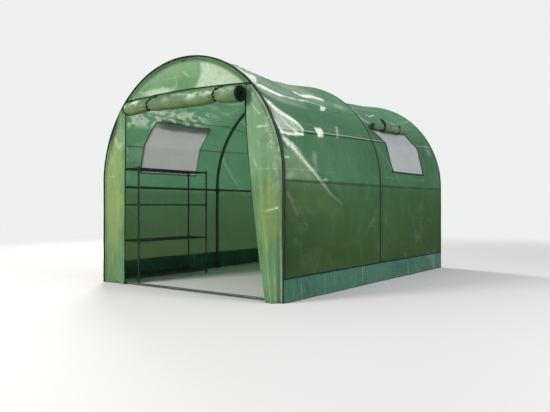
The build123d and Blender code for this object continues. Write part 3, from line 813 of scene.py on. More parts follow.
def cover_slack(side, y, s):
    """How far the film stands out from the smooth arch (negative is in), at y and girth s"""
    cover = settings("cover")
    angle = np.degrees(arch_angle(s))
    in_front = y < MIDDLE
    bay = MIDDLE - FRONT - END_GRIP - HOOP_GRIP
    u = np.clip(np.where(in_front, y - FRONT - END_GRIP, y - MIDDLE - HOOP_GRIP) / bay, 0, 1)
    hoop = np.clip(4 * u * (1 - u), 0, 1)
    front_shape = 1 - np.abs(2 * u - 1) ** 2.4
    depth = np.where(in_front, cover.front_sag * front_shape,
                     cover.rear_sag * np.sin(math.pi * u ** 0.65))
    below = np.clip((HIGH_SEAM - angle) / (HIGH_SEAM - LOW_SEAM), 0, 1)
    above = np.clip((90 - angle) / 17.0, 0, 1)
    out = -depth * (1 - below ** 1.5) * np.sin(above * math.pi / 2)
    wall = ramp(s, SKIRT_TOP, 0.45) * (1 - ramp(s, 0.70, 0.85))
    flank = ramp(s, EAVES + 0.02, EAVES + 0.16) * (1 - ramp(angle, LOW_SEAM - 7, LOW_SEAM))
    out -= 0.010 * front_shape * (wall + flank)
    foot = ramp(s, SKIRT_TOP, SKIRT_TOP + 0.14)
    grip = ramp(hoop, 0.0, 0.07)
    out += grip * creases(y - FRONT, s, CREASES[side])
    # Short gathers that start at the end hoops and at the middle one
    for away, fade, height, tall, wide, seed in (
            (np.where(in_front, y - FRONT - END_GRIP, REAR - END_GRIP - y), 0.15, 0.0055, 0.085, 0.6, 11),
            (np.abs(y - MIDDLE) - HOOP_GRIP, 0.12, 0.005, 0.095, 0.5, 21)):
        gather = ramp(90 - angle, 0.5, 10) * np.exp(-np.clip(away, 0, None) / fade) * grip * foot
        out += height * gather * folds(s / tall, y / wide, seed + side)
    # Soft crumples over all of it, quiet where the rails hold the film
    quiet = np.sqrt(hoop) * grip * foot * (1 - 0.85 * bell(s - 0.858, 0.05)) * ramp(90 - angle, 0.5, 8)
    crumple = cover.crumple * (0.45 + 0.85 * ramp(angle, 10, 40)) * quiet
    out += crumple * folds(y / 0.34 + 3, s / 0.23 + 1, 31 + side)
    out += 0.30 * crumple * waves(y / 0.10, s / 0.08, 41 + side)
    if side == LEFT:
        # The slack left roof is crushed into many small waves over the front bay
        crushed_and_glare = ramp(angle, 34, 46) * (1 - ramp(angle, 74, 84)) * in_front * quiet
        out += 0.019 * crushed_and_glare * folds(y / 0.17 + 0.8 * s, s / 0.095, 61)
    # Lapped seams stand out a little
    for seam, climb, _ in SEAMS:
        out += 0.0065 * np.sqrt(hoop) * grip * np.exp(-np.abs(s - seam - climb * y) / 0.035)
    return out


def cover_painted_light(side, y, s):
    """Painted light of one cover half: painted glare over its crumpled places, a painted sky reflection
    on the upper roof, a painted warm glow, and the painted shade of the hoops behind it
    """
    d = y - FRONT
    pale = pale_lines(d, s, PAINTED_GLARE_LINES[side], 1.35, lambda near: ramp(
        near + 0.12 * waves(d / 0.07, s / 0.05, 303) * near, 0.0, 0.80))
    for *oval, strength in PAINTED_GLARE_SPOTS[side]:
        pale = np.maximum(pale, strength * spot(d, s, *oval))
    warm = np.zeros_like(pale)
    angle = np.degrees(arch_angle(s))
    if side == LEFT:
        # Painted highlights on the small waves of the slack left roof, and painted streaks
        wavy = folds(d / 0.085 + 1.2 * s, s / 0.042 + 2.0 * d, 61)
        region = (ramp(d, 0.05, 0.14) * (1 - ramp(d, 0.85, 1.25)) * ramp(s - 0.12 * d, 1.38, 1.46)
                  * (1 - ramp(s - 0.12 * d, 1.58, 1.68)))
        pale = np.maximum(pale, region * (0.05 + 0.72 * ramp(wavy, 0.0, 0.45)))
        streaks = ramp(folds(d / 0.40 + 1.1 * s, s / 0.050 - 1.2 * d, 63), 0.25, 0.85)
        pale = np.maximum(pale, 0.40 * ramp(angle, 40, 50) * (1 - ramp(d, 1.25, 1.45)) * streaks)
    else:
        # Painted glare and a painted warm glow on the facets
        for white, yellow, *flat in PAINTED_LIGHT_FACETS:
            soft = 0.011 if white > 0.3 else 0.035
            mask = inside(d, s, list(zip(flat[::2], flat[1::2])), soft)
            mask = mask * (0.80 + 0.20 * waves(d / 0.03, s / 0.05, 307))
            pale = np.maximum(pale, white * mask)
            warm = np.maximum(warm, yellow * mask)
        # Painted sky reflection: the upper roof is paler
        haze_and_sky_sheen = 0.34 * ramp(s, 1.62, 1.72) * (1 - ramp(s, 2.15, 2.40)) * (1 - ramp(d, 1.00, 1.38))
        haze_and_sky_sheen = np.maximum(haze_and_sky_sheen, 0.07 * ramp(angle, 32, 56))
        pale = np.maximum(pale, haze_and_sky_sheen * (0.8 + 0.4 * waves(d / 0.25, s / 0.12, 309)))
    # Shade of the end hoops right behind the film
    hoop = 0.022
    away = np.minimum(np.abs(y - FRONT - hoop), np.abs(REAR - hoop - y))
    return joined(pale, 0.45 * bell(away, 0.012), warm)


def cover_place(side, y, s, lift=0.0):
    """Points of the film at y and girth s, lifted off it by a distance"""
    reach = REACH + cover_slack(side, y, s) + lift
    angle = arch_angle(s)
    return joined(side * reach * np.cos(angle), y, np.minimum(s, EAVES) + reach * np.sin(angle))


def cover_normal(side, y, s):
    """Outward directions of the film at y and girth s"""
    step = 0.004
    dy = cover_place(side, y + step, s) - cover_place(side, y - step, s)
    ds = cover_place(side, y, s + step) - cover_place(side, y, s - step)
    return unit(np.cross(dy, ds) * side)


def make_cover(side):
    """One half of the cover, from its skirt seam to the ridge, with its window cut out"""
    cover = settings("cover")
    front, rear, low, high = WINDOWS[side]
    name = SIDE_NAMES[side]
    y = even(FRONT + FILM, REAR - FILM, cover.cell, front, rear, MIDDLE)
    s = even(SKIRT_TOP - SEWN_IN, CROWN, cover.cell, low, high)
    y_mid, s_mid = (y[:-1] + y[1:]) / 2, (s[:-1] + s[1:]) / 2
    hole = ((y_mid > front) & (y_mid < rear))[None, :] & ((s_mid > low) & (s_mid < high))[:, None]
    y, s = y[None, :], s[:, None]
    mesh = sheet_mesh(f"{name}_cover", cover_place(side, y, s), joined(y, s), ~hole,
                      cover_painted_light(side, y, s), side == LEFT)
    piece = add_piece(mesh, "cover", (f"{name}_wall_film", f"{name}_shoulder_film", f"{name}_roof_film",
                                      "crown_film"), cover.thickness)


def skirt_flare(along, height, seed):
    """How far a skirt stands out from the wall: folds that open towards the ground"""
    drop = np.clip(1 - height / SKIRT_TOP, 0, 1)
    wave = folds(along / 0.19, height / 0.30, seed)
    small = waves(along / 0.05, height / 0.10, seed + 3)
    return drop ** 1.3 * (0.006 + 0.007 * wave) + 0.0012 * small * np.sqrt(drop)


def make_skirt(name, points, along, z, flip):
    """One skirt of heavier film that hangs from the wall to the ground"""
    mesh = sheet_mesh(name, points, joined(along, z), flip=flip)
    piece = add_piece(mesh, "skirt", (name,), thickness=0.0016)


def make_skirts():
    """Skirts of both sides and the rear end"""
    z = even(0.0, SKIRT_TOP, 0.011)[:, None]
    y = even(FRONT, REAR, 0.014)[None, :]
    for side in SIDE_NAMES:
        flare = skirt_flare(y, z, 50 + side) * ramp(y, FRONT, FRONT + 0.05) * ramp(-y, -REAR, 0.05 - REAR)
        make_skirt(f"{SIDE_NAMES[side]}_skirt", joined(side * (REACH + flare), y, z), y, z, side == LEFT)
    x = even(-REACH, REACH, 0.014)[None, :]
    flare = skirt_flare(x, z, 58) * ramp(REACH - np.abs(x), 0, 0.05)
    make_skirt("rear_skirt", joined(x, REAR + flare, z), x, z, True)


# The ends. Their tables hold places as pairs of x, or of the share of a jamb's width, and z

GABLE_CREASES = (
    (-0.66, 1.62, -0.10, 1.80, 0.007, 0.07), (0.60, 1.66, 0.22, 1.80, 0.009, 0.06),
    (0.40, 1.60, 0.30, 1.78, 0.006, 0.05), (-0.28, 1.60, -0.20, 1.84, 0.005, 0.05),
)
GABLE_LINES = (
    (0.011, 0.20, 0.14, -0.10, 1.58, -0.08, 1.72, -0.07, 1.86),
    (0.010, 0.4, 0.2, -0.52, 1.66, -0.42, 1.60), (0.012, 0.4, 0.2, 0.00, 1.76, 0.06, 1.71),
    (0.012, 0.4, 0.2, -0.62, 1.58, -0.56, 1.68), (0.012, 0.45, 0.35, 0.30, 1.76, 0.46, 1.58),
    (0.018, 0.6, 0.5, 0.20, 1.84, 0.52, 1.70, 0.70, 1.58),
)
RIGHT_JAMB_LINES = (
    (0.016, 0.40, 0.40, 0.32, 1.44, 0.62, 1.345), (0.010, 0.55, 0.55, 0.44, 1.250, 0.76, 1.262),
    (0.011, 0.60, 0.60, 0.60, 0.650, 0.85, 0.672), (0.022, 0.35, 0.35, 0.25, 1.02, 0.38, 0.96),
)
LEFT_JAMB_LINES = ((0.035, 0.24, 0.24, 0.15, 1.30, 0.60, 1.20, 0.85, 1.22),)
REAR_CREASES = (
    (-0.92, 1.20, -0.15, 0.80, 0.014, 0.13), (0.94, 1.10, 0.25, 0.60, 0.014, 0.13),
    (0.72, 1.55, 0.20, 1.15, 0.012, 0.11), (-0.62, 1.62, -0.25, 1.20, 0.012, 0.11),
    (-0.97, 0.55, -0.40, 0.22, 0.010, 0.10), (0.97, 0.50, 0.45, 0.20, 0.010, 0.10),
)
REAR_LINES = (
    (0.018, 0.30, 0.08, -0.92, 1.20, -0.50, 1.00, -0.15, 0.80),
    (0.018, 0.28, 0.08, 0.94, 1.10, 0.60, 0.86, 0.25, 0.60),
    (0.018, 0.30, 0.08, 0.72, 1.55, 0.45, 1.35, 0.20, 1.15),
    (0.018, 0.30, 0.08, -0.62, 1.62, -0.42, 1.42, -0.25, 1.20),
)


def half_width(z):
    """Half of the end's width at a height"""
    rise = np.clip(np.asarray(z, float) - EAVES, 0, REACH)
    return np.sqrt(REACH ** 2 - rise ** 2)


def head_bow(x):
    """How far the head binding is pulled up from a straight line, at x"""
    share = x / float(half_width(HEAD))
    return 0.018 * np.cos(np.clip(share, -1, 1) * math.pi / 2) - 0.010 * np.clip(share, 0, 1) ** 2


def end_panel(name, z, low_x, high_x, bulge, painted_light, facing, cell, bow=0.0):
    """Panel of film in one end, between two edges that change with height"""
    end, place = ENDS[facing]
    spans = high_x - low_x
    widest, height = float(spans.max()), float(z[-1] - z[0])
    t = np.linspace(0, 1, max(6, round(widest / cell)) + 1)[None, :]
    x = low_x[:, None] * (1 - t) + high_x[:, None] * t
    zz = np.broadcast_to(z[:, None], x.shape)
    zz = zz + bow * head_bow(x) * (1 - ramp(zz, HEAD, HEAD + 0.22))
    y = place + facing * bulge(x, zz, t)
    mesh = sheet_mesh(name, joined(x, y, zz), joined(x, zz), painted_light=painted_light(x, zz, t), flip=facing > 0)
    piece = add_piece(mesh, "film", (f"{name}_film",), settings("cover").thickness)


def crown_rows(low, cell):
    """Heights from low to the crown, closer together where the arch flattens"""
    return EAVES + REACH * np.sin(even(math.asin((low - EAVES) / REACH), math.pi / 2, cell / REACH))


def arch_shade(x, z, place=0.030, width=0.012):
    """Shade of the hoop behind an end's film"""
    reach = np.where(z > EAVES, np.hypot(x, z - EAVES), np.abs(x))
    return bell(REACH - reach - place, width)


def gable_bulge(x, z, t):
    """Soft dents and pulls of the gable film"""
    edge = ramp(half_width(z) - np.abs(x), 0.0, 0.10) * ramp(z, HEAD, HEAD + 0.05)
    soft = 0.006 * folds(x / 0.30 + 2, z / 0.42, 71) + 0.002 * waves(x / 0.07, z / 0.09, 72)
    return edge * (soft - 0.012 + creases(x, z, GABLE_CREASES))


def gable_painted_light(x, z, t):
    """Gable film: painted light on a pale, hazy right third behind a curved fold, thin pale packet folds,
    and the painted shade of the hoop behind it
    """
    edge = 0.10 + 0.10 * np.sin(np.clip((z - HEAD) / 0.32, 0, 1) * math.pi)
    pale = 0.32 * ramp(x, edge - 0.025, edge + 0.02) * (1 - 0.25 * ramp(x, 0.35, 0.75))
    pale = pale + 0.10 * ramp(waves(x / 0.30, z / 0.20, 305), -0.2, 0.8)
    pale = np.maximum(pale, pale_lines(x, z, GABLE_LINES))
    pale = np.maximum(pale, 0.35 * spot(x, z, -0.30, 1.62, 0.20, 0.05))
    pale = pale * ramp(REACH - np.hypot(x, z - EAVES), 0.036, 0.060)
    return joined(pale, 0.40 * arch_shade(x, z), 0.0)


def jamb_edge(z):
    """Free edge of the right jamb at a height: upright at its head, bowed out towards the ground"""
    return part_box("right_jamb_film")[0].x + 0.190 * np.clip((HEAD - z) / HEAD, 0, 1) ** 2


def left_jamb_bulge(x, z, t):
    """Long soft folds of the left jamb"""
    wave = 0.010 * np.sin((x + REACH) / 0.105 * math.pi + 0.5 * z) + 0.006 * waves(x / 0.09, z / 0.8, 81)
    pack = 0.004 * np.exp(-np.abs(z - 0.80) / 0.012) + 0.004 * folds(x / 0.16, z / 0.30, 82)
    return ramp(x, -REACH, -REACH + 0.05) * (wave + pack) * ramp(HEAD - z, 0, 0.10)


def left_jamb_painted_light(x, z, t):
    """Left jamb: light shines warmly through its lower half, and the hoop shades its outer edge"""
    return joined(pale_lines(t, z, LEFT_JAMB_LINES), 0.55 * arch_shade(x, z, 0.034, 0.011),
                  0.7 * spot(t, z / 3, 0.45, 0.26, 0.55, 0.22))


def right_jamb_bulge(x, z, t):
    """Right jamb drawn aside: a fat roll of slack film that narrows to the head"""
    slack = ramp(HEAD - z, 0.02, 0.75)
    belly = 0.050 * slack * np.sin(np.clip(t, 0, 1) ** 0.8 * math.pi) ** 1.2
    curl = -0.020 * slack * (1 - ramp(t, 0.0, 0.22))
    fold = 0.015 * slack * np.sin(t * math.pi * 4.1 + 1.3 * z) * np.sin(t * math.pi)
    small = 0.008 * folds(x / 0.06, z / 0.34, 91) + 0.003 * waves(x / 0.05, z / 0.16, 92)
    return belly + curl + fold + small * np.sin(t * math.pi) * (0.3 + 0.7 * slack)


def right_jamb_painted_light(x, z, t):
    """Right jamb: as the left one, with painted highlights in pale lines, specks and streaks, most of
    them above its middle
    """
    warm = 0.75 * spot(t, z / 3, 0.62, 0.22, 0.34, 0.12) * (0.8 + 0.2 * waves(x / 0.03, z / 0.012, 96))
    speckle = ramp(waves(x / 0.022, z / 0.035, 97), -0.1, 0.7)
    outer = ramp(t, 0.45, 0.95) * ramp(z, 0.70, 1.00)
    streaks = ramp(waves(t / 0.055, z / 0.9, 98), 0.0, 0.7)
    pale = np.maximum.reduce([
        pale_lines(t, z, RIGHT_JAMB_LINES), 0.26 * outer * (0.35 + 0.65 * speckle),
        0.28 * streaks * (0.6 + 0.4 * speckle), 0.09 * ramp(z, 0.75, 1.10) * (0.7 + 0.3 * speckle)])
    return joined(pale, 0.55 * arch_shade(x, z, 0.034, 0.011), warm)


def rear_bulge(x, z, t):
    """The rear panel: drawn in a little, with long pulls towards its corners and packet folds"""
    edge = ramp(half_width(z) - np.abs(x), 0.0, 0.16) * ramp(z, SKIRT_TOP, SKIRT_TOP + 0.10)
    out = 0.010 * folds(x / 0.50 + 4, z / 0.55, 101) + 0.003 * waves(x / 0.09, z / 0.12, 102) - 0.022
    out += creases(x, z, REAR_CREASES)
    for place, lines in ((x, (-0.50, 0.0, 0.50)), (z, (0.60, 1.03, 1.46))):
        out += sum(0.002 * np.exp(-np.abs(place - line) / 0.006) for line in lines)
    return out * edge


def rear_painted_light(x, z, t):
    """Rear panel: painted highlights as thin pale lines along its pulls, and the painted shade of the
    hoop
    """
    return joined(pale_lines(x, z, REAR_LINES), 0.45 * arch_shade(x, z), 0.0)


def make_ends():
    """Gable film, both jambs and the rear panel"""
    z = crown_rows(HEAD, 0.012)
    end_panel("front_gable", z, -half_width(z), half_width(z), gable_bulge, gable_painted_light, facing=-1,
              cell=0.011, bow=1.0)
    left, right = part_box("left_jamb_film")[1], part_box("right_jamb_film")[1]
    z = even(0.0, left.z, 0.014)
    end_panel("left_jamb", z, -half_width(z), np.full_like(z, left.x), left_jamb_bulge, left_jamb_painted_light,
              facing=-1, cell=0.010)
    z = even(0.0, right.z, 0.012)
    end_panel("right_jamb", z, jamb_edge(z), half_width(z), right_jamb_bulge, right_jamb_painted_light,
              facing=-1, cell=0.008)
    z = np.concatenate([even(SKIRT_TOP - SEWN_IN, EAVES, 0.015)[:-1], crown_rows(EAVES, 0.015)])
    end_panel("rear_panel", z, -half_width(z), half_width(z), rear_bulge, rear_painted_light, facing=1, cell=0.015)


# The rolled door

def roll_shape(x):
    """Roll's radius at x, and how far it hangs below its straight axis"""
    left, right = DOOR_TIES
    share = 1.02 + 0.02 * np.cos(x * 9)
    for tie in DOOR_TIES:
        share = share - 0.36 * np.exp(-np.abs((x - tie) / 0.045) ** 1.4)
    share = share + 0.03 * ramp(x, 0.45, 0.66) - 0.10 * ramp(-x, 0.55, 0.78)
    hang = 0.004 * np.cos((x - (left + right) / 2) / (right - left) * math.pi) - 0.8 * head_bow(x)
    return (ROLL_HIGH.z - ROLL_LOW.z) / 2 * np.clip(share, 0.3, 1.06), hang


def winding(t, hang, ease, turns):
    """Share of the wound part of a roll at t, the same eased towards the core, and its angle"""
    share = np.clip((t - hang) / (1 - hang), 0, 1)
    return share, share ** ease, share ** ease * turns * 2 * math.pi


def door_winding(t):
    """Winding of the rolled door at t"""
    return winding(t, DOOR_HANG, 0.82, settings("door").turns)


def door_profile(x, t, grow=0.0):
    """Points of the rolled door: t runs from 0 at the head binding to 1 at the core"""
    share, inward, turn = door_winding(t)
    radius, hang = roll_shape(x)
    crumple = 0.0058 * folds(x / 0.10, turn / 1.9, 111) - 0.003
    crumple = crumple + 0.0022 * waves(x / 0.035, turn / 0.8, 112)
    pleat = 0.0
    for tie in DOOR_TIES:
        crumple = crumple * (1 - np.exp(-((x - tie) / 0.030) ** 4))
        pleat = pleat + 0.0042 * np.cos(turn * 9 + tie * 7) * bell(np.abs(x - tie) - 0.035, 0.04)
    r = radius * (1 - inward) + settings("door").core * inward
    r = r + (crumple + pleat) * (1 - ramp(share, 0.10, 0.35)) + grow
    y = (ROLL_LOW.y + ROLL_HIGH.y) / 2 + r * np.cos(turn) * (1 + 0.05 * np.cos(turn * 2 + 0.6))
    z = (ROLL_LOW.z + ROLL_HIGH.z) / 2 - hang - r * np.sin(turn)
    # Before it is wound up, the film falls from the head binding to the roll
    drop = np.clip(t / DOOR_HANG, 0, 1)
    ease = ramp(drop, 0, 1)
    y = np.where(t < DOOR_HANG, (FRONT - 0.0032) * (1 - ease) + y * ease - grow, y)
    z = np.where(t < DOOR_HANG, (HEAD - 0.004 + head_bow(x)) * (1 - drop) + z * drop, z)
    # The inner turns slip sideways a little, so the ends show as a stepped spiral
    return joined(x + 0.004 * np.sin(turn * 0.5) * ramp(share, 0.0, 0.2), y, z)


def roll_painted_light(x, t):
    """Rolled door: painted highlights in streaks along its upper front, painted shade over it, lighter at
    its left end and darker beside the ties, and a painted warm glow of light shining through underneath
    """
    turn = door_winding(t)[2]
    outer = 1 - ramp(turn, 6.0, 7.0)
    upper = bell(turn - 3.9, 0.80 + 0.35 * waves(x / 0.06, 0, 116))
    streaks = ramp(folds(x / 0.045 + 0.25 * turn, turn / 0.55, 113), -0.05, 0.50)
    pale = outer * upper * (0.06 + 0.66 * streaks * ramp(waves(x / 0.09, turn / 1.1, 117), -0.4, 0.3))
    pale = pale * (1 - 0.45 * ramp(x, 0.25, 0.50))
    shadow = 0.27 * outer * (1 - 0.65 * ramp(-x, 0.40, 0.58)) * (
        0.85 + 0.35 * waves(x / 0.08, turn / 0.9, 118))
    for tie in DOOR_TIES:
        beside = bell(np.abs(np.abs(x - tie) - 0.026), 0.016)
        patchy = ramp(waves(turn / 0.45, tie, 115), -0.5, 0.3)
        shadow = np.maximum(shadow, 0.70 * outer * beside * patchy)
    return joined(pale, shadow, 0.74 * outer * bell(turn - 2.0, 0.80))


def make_door():
    """Rolled door, the tape on its edges and its two ties"""
    ends, tape = 0.004, settings("door").tape
    left, right = ROLL_LOW.x + ends, ROLL_HIGH.x - ends
    # Steps along the rolled door are closer together on the outer turns
    outer = np.linspace(0, 0.30, 86)
    t = np.concatenate([np.linspace(0, DOOR_HANG, 7)[:-1], outer[outer >= DOOR_HANG],
                        np.linspace(0.30, 1.0, 132)[1:]])[:, None]
    x = even(left, right, SOFT_CELL)[None, :]
    points = door_profile(x, t)
    steps = lengths_along(points[:, points.shape[1] // 2])
    mesh = sheet_mesh("rolled_door", points, joined(x, steps[:, None]), painted_light=roll_painted_light(x, t))
    piece = add_piece(mesh, "film", ("door_roll",), settings("cover").thickness)
    tapes = []
    for start, stop in ((left - 0.001, left + tape), (right - tape, right + 0.001)):
        x = np.linspace(start, stop, 4)[None, :]
        shell = np.concatenate([door_profile(x, t, 0.0012), door_profile(x, t, -0.0040)[:, ::-1]], axis=1)
        flat = joined(np.arange(8)[None, :] * 0.004, steps[:, None])
        tapes.append(sheet_mesh("tape", shell, flat, tube=True))
    add_tapes("door_edge_tapes", tapes)
    make_door_ties()


def make_door_ties():
    """Straps that hold the roll up: round the waist and back to the head binding"""
    straps = []
    for way, x in zip((-1, 1), DOOR_TIES):
        radius, hang = (float(part[0]) for part in roll_shape(np.array([x])))
        top = np.array([FRONT - 0.006, HEAD + 0.002 + float(head_bow(x))])
        axis = np.array([(ROLL_LOW.y + ROLL_HIGH.y) / 2, (ROLL_LOW.z + ROLL_HIGH.z) / 2 - hang])
        loop = [axis + (radius + 0.0030) * np.array([math.cos(a), math.sin(a)])
                for a in np.radians(np.linspace(112, 400, 40))]
        path = [top + (loop[0] - top) * share for share in (0, 0.25, 0.5, 0.75)] + loop
        path += [loop[-1] + (top + [0.002, -0.012] - loop[-1]) * share for share in (0.4, 0.8, 1.0)]
        path = np.array(path)
        lean = way * 0.010 * np.sin(np.linspace(0, 2.4, len(path)))
        points = joined(x + lean, path[:, 0], path[:, 1])
        sideways = np.array([1.0, 0.0, 0.0])
        squeeze = 1 - 0.30 * np.exp(-np.linspace(0, 3, len(path)))[:, None]
        straps.append(ribbon(points, sideways * squeeze, np.cross(sideways, heading(points)),
                             width=0.024, thickness=0.0022))
        knot_at = points[3] + [0.0, -0.004, 0.0]
        straps.append(knot(knot_at, radius=0.011))
        straps.append(tail(knot_at + [[0, 0, 0], [0.012, -0.006, -0.018], [0.016, -0.009, -0.048],
                                      [0.010, -0.008, -0.078]]))
    add_tapes("door_tie_straps", straps, "door_ties")


def knot(centre, radius):
    """Small lumpy knot"""
    polar = np.linspace(0.12, math.pi - 0.12, 9)[:, None]
    turn = np.linspace(0, 2 * math.pi, 12, endpoint=False)[None, :]
    r = radius * (1 + 0.16 * np.sin(3 * turn + 2 * polar) + 0.10 * np.cos(5 * polar))
    return capped_tube(centre + joined(1.15 * r * np.sin(polar) * np.cos(turn),
                                       0.8 * r * np.sin(polar) * np.sin(turn), r * np.cos(polar)))


def tail(points):
    """Loose end of a tie: a flat cord along a smooth curve through the given points"""
    padded = np.concatenate([2 * points[:1] - points[1:2], points, 2 * points[-1:] - points[-2:-1]])
    path = []
    for p0, p1, p2, p3 in zip(padded, padded[1:], padded[2:], padded[3:]):
        count = max(2, round(float(np.linalg.norm(p2 - p1)) / 0.004))
        path += [0.5 * ((2 * p1) + (p2 - p0) * t + (2 * p0 - 5 * p1 + 4 * p2 - p3) * t ** 2
                        + (3 * p1 - p0 - 3 * p2 + p3) * t ** 3) for t in np.arange(count) / count]
    path = np.array([*path, points[-1]])
    along = heading(path)
    side = unit(np.cross(along, UP))
    return round_tube(path, side, np.cross(side, along), radius=0.0030, flat_by=0.4, sides=10)


# Tapes, piping and zips

def arch_path(reach, low):
    """Path over the arch at y = 0, from one side's low edge to the other's, and its outward
    directions"""
    half = even(low, CROWN, TAPE_STEP)
    s = np.concatenate([half, half[-2::-1]])
    side = np.concatenate([np.ones(len(half)), -np.ones(len(half) - 1)])
    outward = joined(side * np.cos(arch_angle(s)), 0.0, np.sin(arch_angle(s)))
    return reach * outward + joined(0.0, 0.0, np.minimum(s, EAVES)), outward


def edge_piping(facing):
    """Round piping in the corner of an end, and the tape that holds it on the side film"""
    end, film = ENDS[facing]
    low, high = (corner.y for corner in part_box(f"{end}_edge_piping"))
    radius = (high - low) / 2
    path, outward = arch_path(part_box("front_edge_piping")[1].x - radius, 0.0)
    steps = np.arange(len(path)) * TAPE_STEP
    path = path + outward * (0.0011 * waves(steps / 0.12, 0, 201 + facing))[:, None]
    path[:, 1] = (low + high) / 2 + 0.0012 * waves(steps / 0.17, 2, 203 + facing)
    cord = round_tube(path, outward, np.cross(heading(path), outward), radius)
    path, outward = arch_path(REACH + 0.0012, SKIRT_TOP - 0.006)
    path[:, 1] = film - facing * 0.0060 + 0.0010 * waves(np.arange(len(path)) / 13.0, 0, 205 + facing)
    tape, rows = sewn_band(path, ALONG, outward, width=0.009, thickness=0.0022, lift=0.0016,
                           ways=(0.0024, -0.0024))
    add_tapes(f"{end}_piping", [cord, tape], f"{end}_edge_piping")
    return rows


def middle_band():
    """Band over the cover along the middle hoop"""
    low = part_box("middle_seam_band")[0].z
    half = even(low, CROWN, TAPE_STEP)
    right, left = (cover_place(side, MIDDLE, half, lift=0.0016) for side in (RIGHT, LEFT))
    path = np.concatenate([right, left[-2::-1]])
    path[:, 1] += 0.0015 * waves(np.arange(len(path)) / 16.0, 0, 211)
    tape, rows = sewn_band(path, ALONG, arch_path(REACH, low)[1], width=0.0125, thickness=0.0026,
                           lift=0.0017, ways=(0.0042, -0.0042))
    add_tapes("middle_band", [tape], "middle_seam_band")
    return rows


def skirt_tapes():
    """Binding over the seam between the cover and its skirts"""
    tapes, rows = [], []
    for side, start, stop, seed in ((RIGHT, FRONT, REAR, 222), (LEFT, FRONT, REAR, 220),
                                    (0, -REACH, REACH, 225)):
        along = even(start, stop, 0.02)
        z = SKIRT_TOP + 0.0016 * waves(along / 0.13, 0, seed)
        path = joined(side * (REACH + 0.0014), along, z) if side else joined(along, REAR + 0.0014, z)
        outward = np.array([side, 1.0 - abs(side), 0.0])
        tape, more = sewn_band(path, UP, outward, width=0.012, thickness=0.0024, lift=0.0015,
                               ways=(-0.0040, 0.0040))
        tapes.append(tape)
        rows += more
    add_tapes("skirt_tapes", tapes, "skirt_bindings")
    return rows


def head_tape():
    """Binding over the doorway's head, which the rolled door hangs from"""
    half = float(half_width(HEAD))
    x = even(-half, half, 0.014)
    path = joined(x, FRONT - 0.0018, HEAD + head_bow(x) + 0.0015 * waves(x / 0.10, 0, 231))
    tape, rows = sewn_band(path, UP, -ALONG, width=0.016, thickness=0.0030, lift=0.002, ways=(0.0055,))
    add_tapes("head_tape", [tape], "door_head_binding")
    return rows


def zip_tapes():
    """Zip tapes on the free edges of both jambs; gives the lines of their teeth and stitches"""
    tapes, teeth, rows = [], [], []
    z = even(0.004, HEAD - 0.008, 0.014)
    left_edge = np.full_like(z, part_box("left_jamb_film")[1].x)
    for side, edge, bulge, t in ((LEFT, left_edge, left_jamb_bulge, 1.0),
                                 (RIGHT, jamb_edge(z), right_jamb_bulge, 0.0)):
        path = joined(edge + side * 0.005, FRONT - bulge(edge, z, t) - 0.0016, z)
        along = heading(path)
        sideways = unit(np.cross(along, -ALONG))
        outward = np.cross(sideways, along)
        outward *= np.sign(-outward[:, 1:2])
        tapes.append(ribbon(path, sideways, outward, width=0.016, thickness=0.0022))
        into = np.array([side, 0.0, 0.0])
        teeth.append((path + outward * 0.0024 - into * 0.0052, outward))
        rows.append((path + outward * 0.0014 + into * 0.0055, outward))
    add_tapes("zip_tapes", tapes, "door_zips")
    return teeth, rows


def repeat_tree():
    """Geometry Nodes: small rounded pieces at even steps along lines, turned with their surface"""
    tree = bpy.data.node_groups.new("repeat_along_lines", "GeometryNodeTree")
    for name, kind, default in (
            ("Geometry", "Geometry", None), ("Spacing", "Float", 0.009), ("Piece length", "Float", 0.005),
            ("Piece width", "Float", 0.0014), ("Piece height", "Float", 0.0012),
            ("Unevenness", "Float", 0.12), ("Seed", "Int", 7), ("Finish", "Material", None)):
        socket = tree.interface.new_socket(name, in_out="INPUT", socket_type="NodeSocket" + kind)
        if default is not None:
            socket.default_value = default
    tree.interface.new_socket("Geometry", in_out="OUTPUT", socket_type="NodeSocketGeometry")
    build = Tree(tree)
    given = build.add("NodeGroupInput").outputs
    curve = build.add("GeometryNodeMeshToCurve", {"Mesh": given["Geometry"]}).outputs[0]
    steps = build.add("GeometryNodeResampleCurve", {"Curve": curve, "Length": given["Spacing"]},
                      mode="LENGTH").outputs[0]
    outward = build.add("GeometryNodeInputNamedAttribute", {"Name": "outward"},
                        data_type="FLOAT_VECTOR").outputs[0]
    tangent = build.add("GeometryNodeInputTangent").outputs[0]
    turned = build.add("FunctionNodeAxesToRotation", {
        "Primary Axis": outward, "Secondary Axis": tangent}, primary_axis="Z",
        secondary_axis="X").outputs[0]
    ball = build.add("GeometryNodeMeshUVSphere", {"Segments": 6, "Rings": 4, "Radius": 0.5}).outputs[0]
    uneven = build.add("FunctionNodeRandomValue", {
        2: build.math("SUBTRACT", 1.0, given["Unevenness"]),
        3: build.math("ADD", 1.0, given["Unevenness"]), "Seed": given["Seed"]},
        data_type="FLOAT").outputs[1]
    size = build.add("ShaderNodeCombineXYZ", {
        0: build.times(given["Piece length"], uneven), 1: given["Piece width"],
        2: given["Piece height"]}).outputs[0]
    placed = build.add("GeometryNodeInstanceOnPoints", {
        "Points": steps, "Instance": ball, "Rotation": turned, "Scale": size}).outputs[0]
    real = build.add("GeometryNodeRealizeInstances", {0: placed}).outputs[0]
    finished = build.add("GeometryNodeSetMaterial", {
        "Geometry": real, "Material": given["Finish"]}).outputs[0]
    build.add("NodeGroupOutput", {0: finished})
    return tree


